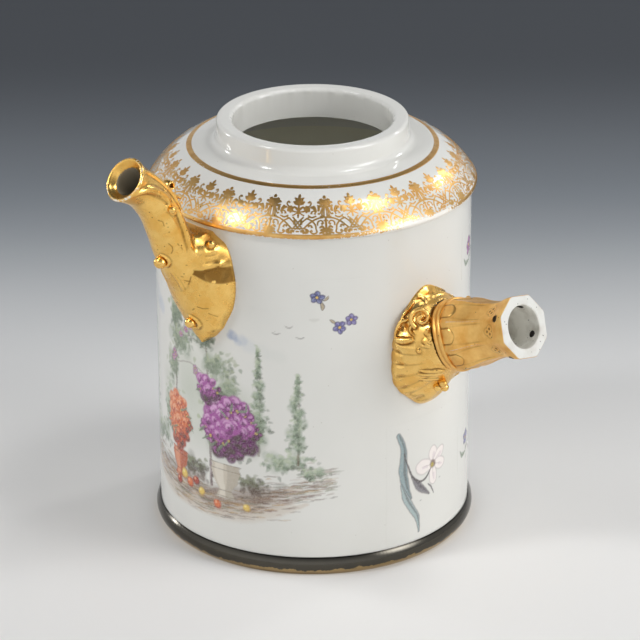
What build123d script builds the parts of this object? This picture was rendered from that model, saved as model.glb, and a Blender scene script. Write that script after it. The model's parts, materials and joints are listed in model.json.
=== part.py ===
from build123d import *
import math
import os

# A chocolate pot of glazed porcelain, with a gilt spout and a gilt socket for a turned handle.
# The clay parts are formed apart and luted together with slip, and the foot stands in a metal rim.
# Millimetres, +Z up. The origin is the centre of the foot on the plane that it rests on.
# The spout points along -X and the socket along -Y, a quarter turn apart.

# ---- Driving dimensions ----

# Fits
lute_gap = 0.05  # film of slip between two clay parts
rim_gap = 0.10  # cement between the rim and the wall

# Body: a thrown cylinder with a ledge inside its foot that carries the base disc
body_radius = 50.0
wall_thickness = 4.0
body_height = 113.2  # from the rim's seat to the underside of the shoulder
ledge_width = 2.5
ledge_height = 5.0
base_thickness = 4.0

# Foot rim: a cast metal ring, half round outside, with a flange under the wall
rim_seat = 1.4  # thickness of the flange
rim_height = 6.0
rim_bulge = 1.45  # how far the half round stands out from its cylinder
rim_wall = 0.15  # thickness left at the top edge
rim_flange = 4.0  # width of the flange under the wall

# Shoulder: a moulded ring with a flat inner part, a crease and a rounded overhanging edge
shoulder_rise = 12.6  # from its seat to its flat top
crease_radius = 39.0
crease_drop = 0.8  # fall of the top from the neck to the crease
shoulder_crown = 1.3  # swell of the slope over its chord
shoulder_wall = 3.2
edge_overhang = 1.7  # how far the edge stands out from the wall
edge_round = 0.6
edge_arc = 1.2  # radius of the edge's outer face in section
edge_drip = 0.5  # how far the edge hangs below its seat

# Neck: a turned collar that takes the lid's flange
neck_bore_radius = 25.2
neck_wall = 4.8
neck_height = 7.6
neck_taper = 0.4
neck_fillet = 3.5
neck_lip_round = 1.7

# Spout: the centre of the tube at each station, as its reach beyond the wall's face and its rise
# above the pour hole, with the tube's tilt in degrees and its half depth and half width
spout_stations = (
    (-9.0, -14.0, 50.0, 7.5, 8.0),
    (-3.4, -6.8, 50.0, 8.0, 9.0),
    (0.0, -1.5, 55.0, 7.9, 9.5),
    (5.0, 6.0, 62.0, 7.3, 8.0),
    (10.4, 15.5, 65.0, 6.9, 7.0),
    (13.4, 22.6, 62.0, 6.6, 6.6),
    (17.7, 30.8, 52.0, 6.2, 6.2),
    (23.2, 37.0, 42.0, 5.9, 5.9),
    (28.4, 41.1, 38.0, 6.5, 6.3),
    (30.8, 42.9, 38.0, 7.1, 6.7),
)
spout_wall = 2.2
spout_lip_round = 0.8
pour_hole_radius = 4.2
pour_hole_drop = 20.6  # from the shoulder's seat down to the pour hole

# Leaf at the spout's root: half its outline, as half width and height above its tip
leaf_outline = ((6.9, 5.0), (12.4, 14.5), (13.4, 22.5), (11.7, 31.4), (5.6, 37.0))
leaf_height = 38.4
leaf_clear = 1.6  # from the leaf's top to the shoulder's edge
leaf_thickness = 1.8

# Beads and curl on the spout: radius, station, and angle round the tube from its outer ridge
spout_bead_places = ((2.1, 4, 0.0), (1.1, 6, 95.0), (1.9, 1, 0.0))
curl_radius = 2.0
curl_length = 5.0
curl_round = 1.0
curl_station = 6

# Handle socket: an octagonal baluster with a blind bore, tilted up from the wall
socket_height = 54.6  # where its axis meets the body's axis
socket_tilt = 21.7
socket_sides = 8
socket_twist = 11.5  # turn of the octagon about its axis
socket_shank_radius = 9.6  # round root that passes through the shell
socket_stations = (  # distance beyond the wall's face along the axis, and radius to a corner
    (12.6, 11.2),
    (15.6, 11.6),
    (20.4, 11.1),
    (26.4, 9.7),
    (31.8, 9.0),
    (35.4, 9.1),
    (39.0, 10.0),
    (41.7, 10.4),
)
socket_bore_radius = 6.65
socket_bore_depth = 36.0
pin_hole_radius = 1.1
pin_hole_inset = 3.2  # from the socket's end
pin_corner = 3  # the corner of the octagon that the cross pin passes through
peg_corner = 1  # the corner with a single peg hole

# Collar ring round the root of the socket
collar_radius = 11.5
collar_width = 2.2
collar_round = 0.8

# Rocaille shell that the socket grows from: its outline from the middle of the root, as places
# to the right and upwards
shell_outline = (
    (0.0, 17.6),
    (-4.1, 17.4),
    (-11.4, 11.4),
    (-14.6, 5.6),
    (-15.5, -2.5),
    (-14.6, -11.8),
    (-9.2, -18.1),
    (-3.0, -21.6),
    (3.1, -18.9),
    (9.6, -15.8),
    (13.4, -8.5),
    (14.3, 1.0),
    (12.2, 8.6),
    (6.9, 13.4),
)
shell_thickness = 1.7
mound_foot_radius = 15.6  # where the mound round the socket's root meets the wall
mound_top_radius = 10.9
rib_turns = (174.0, 190.0, 206.0, 222.0, 318.0, 334.0, 350.0, 6.0, 22.0)
rib_foot = 1.5  # distance of a rib's rounded end from the wall, along the socket's axis
rib_foot_radius = 1.9
rib_top_radius = 0.9

# Volute on the shell: its place across and up from the root, how far it stands out, the way it
# faces, the radii of its half turns, the roll that they are made of, and its round boss
volute_place = (-9.6, 11.2)
volute_out = 4.4
volute_yaw = 34.0
volute_pitch = 25.0
volute_radii = (3.6, 2.6, 1.7, 0.9)
volute_roll = 0.75
boss_radius = 4.4
boss_depth = 7.0

# Cluster of beads below the collar: turn round the socket, distance from the wall, and radius
bead_cluster = ((-117.0, 3.4, 1.5), (-106.0, 4.2, 1.2), (-96.0, 3.6, 1.5))
bead_rise = 0.45  # share of a bead's radius that its centre lies above the ground

# ---- Worked-out places ----

wall_top = rim_seat + body_height
shoulder_top = wall_top + shoulder_rise
edge_radius = body_radius + edge_overhang
neck_radius = neck_bore_radius + neck_wall
pour_hole_height = wall_top - pour_hole_drop
leaf_tip_height = wall_top - edge_drip - leaf_clear - leaf_height
tilt = math.radians(socket_tilt)
socket_root_height = socket_height + body_radius * math.tan(tilt)
socket_end = socket_stations[-1][0]
clear_span = 2 * (shoulder_top + neck_height)  # longer than any cut needs to be

os.makedirs("parts", exist_ok=True)

# ---- Foot rim ----
# The outside is one arc from the foot to the thin top edge.
rim_inside = body_radius + rim_gap
with BuildPart() as foot_rim:
    with BuildSketch(Plane.XZ):
        with BuildLine():
            Polyline(
                (rim_inside, rim_height),
                (rim_inside, rim_seat),
                (rim_inside - rim_flange, rim_seat),
                (rim_inside - rim_flange, 0),
                (body_radius, 0),
            )
            SagittaArc((body_radius, 0), (rim_inside + rim_wall, rim_height), -rim_bulge)
            Line((rim_inside + rim_wall, rim_height), (rim_inside, rim_height))
        make_face()
    revolve(axis=Axis.Z)
foot_rim.part.label = "foot_rim"
export_step(foot_rim.part, "parts/foot_rim.step")

# ---- Body wall ----
# A cylinder with the ledge at its foot and the pour hole through it under the spout.
body_inside = body_radius - wall_thickness
ledge_top = rim_seat + ledge_height
with BuildPart() as body_wall:
    with BuildSketch(Plane.XZ):
        with BuildLine():
            Polyline(
                (body_radius, rim_seat),
                (body_radius, wall_top),
                (body_inside, wall_top),
                (body_inside, ledge_top),
                (body_inside - ledge_width, ledge_top),
                (body_inside - ledge_width, rim_seat),
                close=True,
            )
        make_face()
    revolve(axis=Axis.Z)
    with BuildSketch(Plane((0, 0, pour_hole_height), z_dir=(-1, 0, 0))):
        Circle(pour_hole_radius)
    extrude(amount=body_radius + wall_thickness, mode=Mode.SUBTRACT)
body_wall.part.label = "body_wall"
export_step(body_wall.part, "parts/body_wall.step")

# ---- Base disc ----
with BuildPart() as base_disc:
    with BuildSketch(Plane.XY.offset(ledge_top)):
        Circle(body_inside - lute_gap)
    extrude(amount=base_thickness)
base_disc.part.label = "base_disc"
export_step(base_disc.part, "parts/base_disc.step")

# ---- Shoulder ring ----
crease = (crease_radius, shoulder_top - crease_drop)
edge_top = (edge_radius, wall_top + edge_round)
with BuildPart() as shoulder_ring:
    with BuildSketch(Plane.XZ):
        with BuildLine():
            Polyline((neck_bore_radius, shoulder_top), (neck_radius + neck_fillet, shoulder_top), crease)
            SagittaArc(crease, edge_top, shoulder_crown)
            RadiusArc(edge_top, (edge_radius - edge_round, wall_top - edge_drip), edge_arc)
            Polyline(
                (edge_radius - edge_round, wall_top - edge_drip),
                (body_radius, wall_top),
                (body_inside, wall_top),
                (body_inside, wall_top + shoulder_wall),
            )
            SagittaArc(
                (body_inside, wall_top + shoulder_wall),
                (crease_radius - shoulder_wall, shoulder_top - shoulder_wall),
                -shoulder_crown,
            )
            Polyline(
                (crease_radius - shoulder_wall, shoulder_top - shoulder_wall),
                (neck_bore_radius, shoulder_top - shoulder_wall),
                (neck_bore_radius, shoulder_top),
            )
        make_face()
    revolve(axis=Axis.Z)
shoulder_ring.part.label = "shoulder_ring"
export_step(shoulder_ring.part, "parts/shoulder_ring.step")

# ---- Neck collar ----
# A hollow fillet runs out at its foot and a rolled lip closes its top.
neck_top = shoulder_top + neck_height
with BuildPart() as neck_collar:
    with BuildSketch(Plane.XZ):
        with BuildLine():
            Line((neck_bore_radius, shoulder_top), (neck_radius + neck_fillet, shoulder_top))
            RadiusArc(
                (neck_radius + neck_fillet, shoulder_top),
                (neck_radius, shoulder_top + neck_fillet),
                neck_fillet,
            )
            Polyline(
                (neck_radius, shoulder_top + neck_fillet),
                (neck_radius - neck_taper, neck_top),
                (neck_bore_radius, neck_top),
                (neck_bore_radius, shoulder_top),
            )
        make_face()
    revolve(axis=Axis.Z)
    fillet(neck_collar.faces().sort_by(Axis.Z)[-1].edges(), neck_lip_round)
neck_collar.part.label = "neck_collar"
export_step(neck_collar.part, "parts/neck_collar.step")


# ---- Spout tube ----
# A moulded tube that leaves the wall over the pour hole and bends out to a flared lip.
def spout_point(station, angle, out):
    """A point at an angle from the outer ridge of a station, out beyond the tube's skin."""
    reach, rise, lean, half_depth, half_width = spout_stations[station]
    along = (half_depth + out) * math.cos(math.radians(angle))
    across = -(half_width + out) * math.sin(math.radians(angle))
    lean = math.radians(lean)
    return Vector(
        -(body_radius + reach + along * math.sin(lean)),
        across,
        pour_hole_height + rise - along * math.cos(lean),
    )


def spout_form(inset):
    """The spout's outside, taken in by inset all round."""
    with BuildPart() as form:
        for reach, rise, lean, half_depth, half_width in spout_stations:
            lean = math.radians(lean)
            middle = (-(body_radius + reach), 0, pour_hole_height + rise)
            station = Plane(middle, x_dir=(0, 1, 0), z_dir=(-math.cos(lean), 0, math.sin(lean)))
            with BuildSketch(station):
                Ellipse(half_width - inset, half_depth - inset)
        loft()
    return form.part


spout_outside = spout_form(0)
spout_inside = spout_form(spout_wall)
spout_seat = spout_form(-lute_gap)
lip_lean = math.radians(spout_stations[-1][2])
pour_axis = Axis((0, 0, 0), (-math.cos(lip_lean), 0, math.sin(lip_lean)))
with BuildPart() as spout_tube:
    add(spout_outside)
    add(spout_inside, mode=Mode.SUBTRACT)
    Cylinder(body_radius + lute_gap, clear_span, mode=Mode.SUBTRACT)
    fillet(spout_tube.faces().sort_by(pour_axis)[-1].edges(), spout_lip_round)
spout_tube.part.label = "spout_tube"
export_step(spout_tube.part, "parts/spout_tube.step")

# ---- Leaf at the spout's root ----
# A thin leaf pressed to the wall, with the tube standing up through it.
with BuildPart() as spout_root_leaf:
    leaf_plane = Plane((-body_inside, 0, leaf_tip_height), x_dir=(0, -1, 0), z_dir=(-1, 0, 0))
    with BuildSketch(leaf_plane):
        with BuildLine():
            Spline((0, 0), *leaf_outline, (0, leaf_height), tangents=((1, 0.5), (-1, 0)))
            mirror(about=Plane.YZ)
        make_face()
    extrude(amount=wall_thickness + leaf_thickness)
    Cylinder(body_radius + leaf_thickness, clear_span, mode=Mode.INTERSECT)
    Cylinder(body_radius + lute_gap, clear_span, mode=Mode.SUBTRACT)
    add(spout_seat, mode=Mode.SUBTRACT)
spout_root_leaf.part.label = "spout_root_leaf"
export_step(spout_root_leaf.part, "parts/spout_root_leaf.step")

# ---- Beads on the spout ----
# Balls of clay stuck to the tube, with their backs shaped by it.
with BuildPart() as spout_beads:
    for bead_radius, station, angle in spout_bead_places:
        with Locations(spout_point(station, angle, bead_radius * bead_rise)):
            Sphere(bead_radius)
    add(spout_seat, mode=Mode.SUBTRACT)
    add(spout_root_leaf.part, mode=Mode.SUBTRACT)
    Cylinder(body_radius + lute_gap, clear_span, mode=Mode.SUBTRACT)
spout_beads.part.label = "spout_beads"
export_step(spout_beads.part, "parts/spout_beads.step")

# ---- Curl on the back of the spout ----
# The tip of the moulded leaf, rolled over across the tube.
with BuildPart() as spout_curl:
    curl_middle = spout_point(curl_station, 180, curl_radius * bead_rise)
    with BuildSketch(Plane(curl_middle, z_dir=(0, 1, 0))):
        Circle(curl_radius)
    extrude(amount=curl_length / 2, both=True)
    fillet(spout_curl.edges().filter_by(GeomType.CIRCLE), curl_round)
    add(spout_seat, mode=Mode.SUBTRACT)
spout_curl.part.label = "spout_curl"
export_step(spout_curl.part, "parts/spout_curl.step")

# ---- Handle socket ----
# Distances along its axis are counted from the point where the axis leaves the wall.
socket_direction = Vector(0, -math.cos(tilt), math.sin(tilt))
socket_plane = Plane(
    (0, -body_radius, socket_root_height), x_dir=(1, 0, 0), z_dir=socket_direction
)
first_station = socket_stations[0][0]
collar_seat = first_station - collar_width
shank_start = -socket_shank_radius  # well inside the wall, which trims it
pin_plane = socket_plane.offset(socket_end - pin_hole_inset)
with BuildPart() as handle_socket:
    for distance, corner_radius in socket_stations:
        with BuildSketch(socket_plane.offset(distance)):
            RegularPolygon(corner_radius, socket_sides, rotation=socket_twist)
    loft()
    with BuildSketch(socket_plane.offset(shank_start)):
        Circle(socket_shank_radius)
    extrude(amount=first_station - shank_start)
    with BuildSketch(socket_plane.offset(socket_end)):
        Circle(socket_bore_radius)
    extrude(amount=-socket_bore_depth, mode=Mode.SUBTRACT)
    for corner, both_ways in ((pin_corner, True), (peg_corner, False)):
        turn = math.radians(socket_twist + 360 / socket_sides * corner)
        outward = pin_plane.x_dir * math.cos(turn) + pin_plane.y_dir * math.sin(turn)
        with BuildSketch(Plane(pin_plane.origin, z_dir=outward)):
            Circle(pin_hole_radius)
        extrude(amount=clear_span, both=both_ways, mode=Mode.SUBTRACT)
    Cylinder(body_radius + lute_gap, clear_span, mode=Mode.SUBTRACT)
handle_socket.part.label = "handle_socket"
export_step(handle_socket.part, "parts/handle_socket.step")

# ---- Collar ring ----
with BuildPart() as socket_collar:
    with BuildSketch(socket_plane.offset(collar_seat)):
        Circle(collar_radius)
        Circle(socket_shank_radius + lute_gap, mode=Mode.SUBTRACT)
    extrude(amount=collar_width)
    outer_edges = socket_collar.edges().filter_by(GeomType.CIRCLE)
    fillet(outer_edges.group_by(SortBy.RADIUS)[-1], collar_round)
socket_collar.part.label = "socket_collar"
export_step(socket_collar.part, "parts/socket_collar.step")


# ---- Rocaille shell ----
# A plate that follows the wall, a mound that rises to the collar ring, and ribs down its sides.
def mound_point(turn, distance, out):
    """A point on the mound's side, by its turn round the socket and its distance from the wall."""
    turn = math.radians(turn)
    slope = math.atan2(mound_foot_radius - mound_top_radius, collar_seat)
    radial = socket_plane.x_dir * math.cos(turn) + socket_plane.y_dir * math.sin(turn)
    normal = radial * math.cos(slope) + socket_plane.z_dir * math.sin(slope)
    side = mound_foot_radius - distance * math.tan(slope)
    return socket_plane.origin + socket_plane.z_dir * distance + radial * side + normal * out


def mound_form(gap):
    """The mound round the socket's root, let out by a gap at its sides."""
    with BuildPart() as form:
        with BuildSketch(socket_plane):
            Circle(mound_foot_radius + gap)
        with BuildSketch(socket_plane.offset(collar_seat)):
            Circle(mound_top_radius + gap)
        loft()
        with BuildSketch(socket_plane):
            Circle(mound_foot_radius + gap)
        extrude(amount=-mound_foot_radius)
    return form.part


shell_plane = Plane((0, -body_inside, socket_root_height), x_dir=(1, 0, 0), z_dir=(0, -1, 0))
with BuildPart() as handle_shell:
    with BuildSketch(shell_plane):
        with BuildLine():
            Spline(*shell_outline, periodic=True)
        make_face()
    extrude(amount=wall_thickness + shell_thickness)
    Cylinder(body_radius + shell_thickness, clear_span, mode=Mode.INTERSECT)
    add(mound_form(0))
    for rib_turn in rib_turns:
        foot = mound_point(rib_turn, rib_foot, 0)
        rib = mound_point(rib_turn, collar_seat - rib_top_radius, 0) - foot
        rib_plane = Plane(foot, z_dir=rib)
        with BuildSketch(rib_plane):
            Circle(rib_foot_radius)
        with BuildSketch(rib_plane.offset(rib.length)):
            Circle(rib_top_radius)
        loft()
        with Locations(foot):
            Sphere(rib_foot_radius)
    with BuildSketch(socket_plane.offset(shank_start)):
        Circle(socket_shank_radius + lute_gap)
    extrude(amount=collar_seat - shank_start, mode=Mode.SUBTRACT)
    Cylinder(body_radius + lute_gap, clear_span, mode=Mode.SUBTRACT)
handle_shell.part.label = "handle_shell"
export_step(handle_shell.part, "parts/handle_shell.step")


# ---- Volute on the shell ----
# A rolled scroll on a round boss, set where the plate meets the mound.
with BuildPart() as shell_volute:
    across, up = volute_place
    ground = math.sqrt((body_radius + shell_thickness + volute_out) ** 2 - across**2)
    yaw, pitch = math.radians(volute_yaw), math.radians(volute_pitch)
    volute_plane = Plane(
        (across, -ground, socket_root_height + up),
        z_dir=(
            -math.sin(yaw) * math.cos(pitch),
            -math.cos(yaw) * math.cos(pitch),
            math.sin(pitch),
        ),
    )
    with BuildLine(volute_plane) as volute_path:
        start = -volute_radii[0]
        for number, radius in enumerate(volute_radii):
            side = 1 if number % 2 else -1
            end = start - 2 * side * radius
            ThreePointArc((start, 0), ((start + end) / 2, -side * radius), (end, 0))
            start = end
    with BuildSketch(Plane(volute_path.line @ 0, z_dir=volute_path.line % 0)):
        Circle(volute_roll)
    sweep()
    with BuildSketch(volute_plane):
        Circle(boss_radius)
    extrude(amount=-boss_depth)
    with BuildSketch(socket_plane.offset(collar_seat)):
        Circle(collar_radius + lute_gap)
    extrude(amount=clear_span, mode=Mode.SUBTRACT)
    add(mound_form(lute_gap), mode=Mode.SUBTRACT)
    Cylinder(body_radius + shell_thickness + lute_gap, clear_span, mode=Mode.SUBTRACT)
shell_volute.part.label = "shell_volute"
export_step(shell_volute.part, "parts/shell_volute.step")

# ---- Beads on the shell ----
with BuildPart() as shell_beads:
    for bead_turn, distance, bead_radius in bead_cluster:
        with Locations(mound_point(bead_turn, distance, bead_radius * bead_rise)):
            Sphere(bead_radius)
    add(mound_form(lute_gap), mode=Mode.SUBTRACT)
shell_beads.part.label = "shell_beads"
export_step(shell_beads.part, "parts/shell_beads.step")
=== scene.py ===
import json
import math
import random

import bpy
import numpy as np
from mathutils import Matrix, Vector

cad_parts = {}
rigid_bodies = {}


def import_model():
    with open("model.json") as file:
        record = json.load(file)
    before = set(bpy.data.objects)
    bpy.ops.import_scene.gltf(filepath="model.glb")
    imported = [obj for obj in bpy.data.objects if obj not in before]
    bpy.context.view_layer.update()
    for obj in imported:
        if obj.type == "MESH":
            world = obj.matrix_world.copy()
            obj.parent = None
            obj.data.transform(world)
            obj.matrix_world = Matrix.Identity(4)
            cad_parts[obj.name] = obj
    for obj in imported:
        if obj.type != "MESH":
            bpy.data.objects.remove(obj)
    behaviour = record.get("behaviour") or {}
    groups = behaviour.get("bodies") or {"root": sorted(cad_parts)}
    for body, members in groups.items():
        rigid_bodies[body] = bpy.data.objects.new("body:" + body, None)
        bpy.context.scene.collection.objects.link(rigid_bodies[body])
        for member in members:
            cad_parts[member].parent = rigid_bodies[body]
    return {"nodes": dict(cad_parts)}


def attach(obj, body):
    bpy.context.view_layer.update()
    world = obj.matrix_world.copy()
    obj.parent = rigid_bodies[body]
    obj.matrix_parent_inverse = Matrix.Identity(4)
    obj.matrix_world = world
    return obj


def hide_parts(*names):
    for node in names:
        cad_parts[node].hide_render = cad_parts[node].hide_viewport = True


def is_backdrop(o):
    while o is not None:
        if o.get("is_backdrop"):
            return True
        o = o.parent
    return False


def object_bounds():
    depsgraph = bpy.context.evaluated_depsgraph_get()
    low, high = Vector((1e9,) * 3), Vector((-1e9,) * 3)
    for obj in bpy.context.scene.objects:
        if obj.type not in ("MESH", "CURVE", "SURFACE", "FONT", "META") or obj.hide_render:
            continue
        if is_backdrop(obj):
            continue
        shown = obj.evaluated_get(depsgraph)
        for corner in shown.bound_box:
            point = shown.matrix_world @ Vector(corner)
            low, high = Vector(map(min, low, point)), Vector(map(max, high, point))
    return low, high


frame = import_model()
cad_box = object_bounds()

# ---- Body wall ----
# The thrown wall of the pot, hard-paste porcelain under a clear glaze, white outside; inside, a
# lighter and warmer copy of the glaze is painted light. A ledge inside its foot carries the base.

mm = 0.001
body_radius = 50 * mm
wall_thickness = 4 * mm
rim_seat = 1.4 * mm
wall_top = 114.6 * mm
ledge_top = 6.4 * mm
ledge_radius = 43.5 * mm
pour_hole_height = 94 * mm
pour_hole_radius = 4.2 * mm
body_inside = body_radius - wall_thickness
doubled = 0.002 * mm  # vertices nearer than this are one


def pick(*pieces):
    """Selects pieces and nothing else, and makes the first of them the active one."""
    bpy.ops.object.select_all(action="DESELECT")
    for piece in pieces:
        piece.select_set(True)
        bpy.context.view_layer.objects.active = pieces[0]


def edited(**works):
    """Runs mesh operators in turn on all of the active piece, each with its settings."""
    bpy.ops.object.mode_set(mode="EDIT")
    bpy.ops.mesh.select_all(action="SELECT")
    for work, settings in works.items():
        getattr(bpy.ops.mesh, work)(**settings)
    bpy.ops.object.mode_set(mode="OBJECT")


def arc(start, end, bulge, steps=8):
    """Points of a shallow arc from start to end, bulging to the left of the way along it."""
    along_r, along_z = end[0] - start[0], end[1] - start[1]
    length = math.hypot(along_r, along_z)
    points = []
    for step in range(steps + 1):
        share = step / steps
        off = 4 * bulge * share * (1 - share)
        radius = start[0] + along_r * share - along_z / length * off
        points.append((radius, start[1] + along_z * share + along_r / length * off))
    return points


def turned(name, profile, sides=240):
    """A closed ring turned about the Z axis: a circle extruded along the profile and joined up."""
    pick()
    radius, height = profile[0]
    bpy.ops.mesh.primitive_circle_add(vertices=sides, radius=radius, location=(0, 0, height))
    bpy.ops.object.mode_set(mode="EDIT")
    for (radius, height), (next_radius, next_height) in zip(profile, profile[1:] + profile[:1]):
        rise = {"value": (0, 0, next_height - height)}
        bpy.ops.mesh.extrude_region_move(TRANSFORM_OT_translate=rise)
        spread = next_radius / radius
        bpy.ops.transform.resize(value=(spread, spread, 1))
    edited(remove_doubles={"threshold": doubled}, normals_make_consistent={"inside": False})
    return finished(name)


def finished(name, angle=40):
    """Names the active piece, smooths its faces up to an angle, and leaves its place in its mesh."""
    piece = bpy.context.object
    piece.name = name
    piece.data.name = name
    bpy.ops.object.transform_apply(location=True, rotation=True, scale=True)
    bpy.ops.object.shade_smooth_by_angle(angle=math.radians(angle))
    return piece


def apply(piece, kind, **settings):
    """Applies one modifier of a kind to a piece."""
    modifier = piece.modifiers.new(kind, kind)
    for setting, value in settings.items():
        setattr(modifier, setting, value)
    pick(piece)
    bpy.ops.object.modifier_apply(modifier=modifier.name)


def cut_away(piece, cutter):
    """Cuts the shape of one object out of a piece, and removes the cutter."""
    apply(piece, "BOOLEAN", object=cutter, solver="EXACT")
    bpy.data.objects.remove(cutter)


def linear(hex_colour):
    """The linear colour of an sRGB hex value, with alpha 1."""
    channels = [int(hex_colour[place : place + 2], 16) / 255 for place in (1, 3, 5)]
    return [c / 12.92 if c <= 0.04045 else ((c + 0.055) / 1.055) ** 2.4 for c in channels] + [1]


def fill(owner, node, inputs):
    """Fills or links sockets of a node that belongs to a material, a lamp or the world."""
    for socket, value in inputs.items():
        if isinstance(value, bpy.types.NodeSocket):
            owner.node_tree.links.new(value, node.inputs[socket])
        else:
            node.inputs[socket].default_value = value


def add_node(owner, kind, inputs=(), **settings):
    """Adds a shader node with its settings, and fills or links the sockets that are given."""
    node = owner.node_tree.nodes.new("ShaderNode" + kind)
    for setting, value in settings.items():
        setattr(node, setting, value)
    fill(owner, node, dict(inputs))
    return node


def noise(owner, place, width, detail, roughness=0.5):
    """Cloudy noise whose patches are about a width across."""
    inputs = {"Vector": place, "Scale": 1 / width, "Detail": detail, "Roughness": roughness}
    return add_node(owner, "TexNoise", inputs).outputs["Fac"]


def ramp(owner, value, low, high, start=0.0, end=1.0, smooth=True):
    """Runs from start to end as a value goes from low to high."""
    inputs = {"Value": value, "From Min": low, "From Max": high, "To Min": start, "To Max": end}
    run = "SMOOTHSTEP" if smooth else "LINEAR"
    return add_node(owner, "MapRange", inputs, interpolation_type=run).outputs["Result"]


def spots(owner, place, apart, size, fringe, strength, smooth=True):
    """Round spots a distance apart, at full strength within their size and gone at their fringe."""
    cells = add_node(owner, "TexVoronoi", {"Vector": place, "Scale": 1 / apart})
    return ramp(owner, cells.outputs["Distance"], size, fringe, strength, 0.0, smooth)


def mixed(owner, share, *colours):
    """A colour between two, each given as a hex value or as a socket."""
    first, second = (linear(c) if isinstance(c, str) else c for c in colours)
    return add_node(owner, "Mix", {0: share, 6: first, 7: second}, data_type="RGBA").outputs[2]


def bumped(owner, height, strength, depth, normal=None, invert=False):
    """A surface raised by a height, or sunk by it, on top of the bumps that it has."""
    inputs = {"Height": height, "Strength": strength, "Distance": depth}
    if normal is not None:
        inputs["Normal"] = normal
    return add_node(owner, "Bump", inputs, invert=invert).outputs["Normal"]


def new_material(name):
    """An empty material, its Principled shader joined to its output, and places on the object."""
    material = bpy.data.materials.new(name)
    material.use_nodes = True
    material.node_tree.nodes.clear()
    shader = add_node(material, "BsdfPrincipled")
    add_node(material, "OutputMaterial", {"Surface": shader.outputs["BSDF"]})
    return material, shader, add_node(material, "TexCoord").outputs["Object"]


def glazed_porcelain(name, light, dark):
    """Hard-paste porcelain, clear glazed in the kiln: a hard gloss over a cloudy white body.

    The glaze pools in slow waves 14 mm apart and holds pinholes and specks of 0.25 mm.
    """
    material, shader, place = new_material(name)
    tone = mixed(material, noise(material, place, 30 * mm, 3.0, 0.55), dark, light)
    speck = spots(material, place, 4.5 * mm, 0.020, 0.045, 0.45)
    pooled = bumped(material, noise(material, place, 14 * mm, 1.0), 0.12, 0.5 * mm)
    sockets = {
        "Base Color": mixed(material, speck, tone, "#8d8473"),
        "Roughness": 0.07,
        "IOR": 1.52,
        "Normal": bumped(material, speck, 0.5, 0.1 * mm, pooled, invert=True),
    }
    fill(material, shader, sockets)
    return material


white_porcelain = glazed_porcelain("glazed_hard_paste_porcelain", "#e1e0db", "#d8d7d1")
# painted light: the inside's glaze is a lighter, warmer copy of the outside's, to brighten its shade
lightened_inside_glaze = glazed_porcelain("lightened_warm_glaze_inside", "#eceada", "#dedbc9")

body_wall = turned(
    "glazed_body_wall",
    [(body_radius, rim_seat + share * (wall_top - rim_seat)) for share in np.linspace(0, 1, 25)]
    + [
        (body_inside, wall_top),
        (body_inside, ledge_top),
        (ledge_radius, ledge_top),
        (ledge_radius, rim_seat),
    ],
)
pick()
bpy.ops.mesh.primitive_cylinder_add(
    vertices=64,
    radius=pour_hole_radius,
    depth=3 * wall_thickness,
    location=(-body_radius, 0, pour_hole_height),
    rotation=(0, math.pi / 2, 0),
)
cut_away(body_wall, bpy.context.object)
finished("glazed_body_wall")
body_wall.data.materials.append(white_porcelain)
body_wall.data.materials.append(lightened_inside_glaze)
for face in body_wall.data.polygons:
    middle = face.center
    face.material_index = int(math.hypot(middle.x, middle.y) < body_radius - wall_thickness / 2)
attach(body_wall, "root")
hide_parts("body_wall")

# ---- Base disc ----
# The floor of the pot, a disc luted on the ledge. Only its upper face shows, in the lighter inside glaze
# that is painted light.

base_disc = frame["nodes"]["base_disc"]
for slot in base_disc.material_slots:
    slot.material = lightened_inside_glaze

# ---- Shoulder ring ----
# A moulded ring under the same glaze: a flat round the neck, a soft crease where the gilt line
# runs, and a slope that swells down to a rounded edge hanging over the wall.

shoulder_top = 127.2 * mm
shoulder_inner_wall = 3.2 * mm
crease_radius = 39 * mm
crease_drop = 0.8 * mm
crown = 1.25 * mm
edge_radius = 51.6 * mm
edge_round = 0.6 * mm
edge_drip = 0.45 * mm
neck_bore_radius = 25.2 * mm
neck_radius = 30 * mm
neck_fillet = 2.7 * mm

crease = (crease_radius, shoulder_top - crease_drop)
edge_top = (edge_radius, wall_top + edge_round)
slope = arc(crease, edge_top, crown, steps=24)
shoulder = turned(
    "glazed_shoulder",
    [(neck_bore_radius, shoulder_top), (neck_radius + neck_fillet, shoulder_top)]
    + arc((neck_radius + neck_fillet, shoulder_top), crease, 0.12 * mm, steps=6)[1:-1]
    + slope
    + arc(edge_top, (edge_radius - edge_round, wall_top - edge_drip), 0.25 * mm, steps=6)[1:]
    + arc((edge_radius - edge_round, wall_top - edge_drip), (body_radius, wall_top), -0.1 * mm, 4)[1:]
    + [(body_inside, wall_top), (body_inside, wall_top + shoulder_inner_wall)]
    + [(crease_radius - shoulder_inner_wall, shoulder_top - shoulder_inner_wall)]
    + [(neck_bore_radius + 2 * mm, shoulder_top - 2.3 * mm), (neck_bore_radius, shoulder_top - 1.8 * mm)],
)
shoulder.data.materials.append(white_porcelain)
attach(shoulder, "root")
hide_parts("shoulder_ring")

# ---- Neck collar ----
# Turned on the wheel, its foot run out in a hollow fillet and its lip rolled, for the flange
# of a lid, and chipped along its inner edge. On the pot the glaze is thin and greyish on the lip; here it
# is white all over.

neck_height = 7.9 * mm
neck_flare = 0.2 * mm
lip_round = 1.2 * mm
lip_inner_round = 1.3 * mm
lip_quarter = 6  # steps of each rounded corner


def quarter(centre, radius, first, last, steps):
    """Points of a round corner from one angle to another, in degrees up from the outward way."""
    angles = [math.radians(first + (last - first) * step / steps) for step in range(steps + 1)]
    return [(centre[0] + radius * math.cos(a), centre[1] + radius * math.sin(a)) for a in angles]


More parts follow.
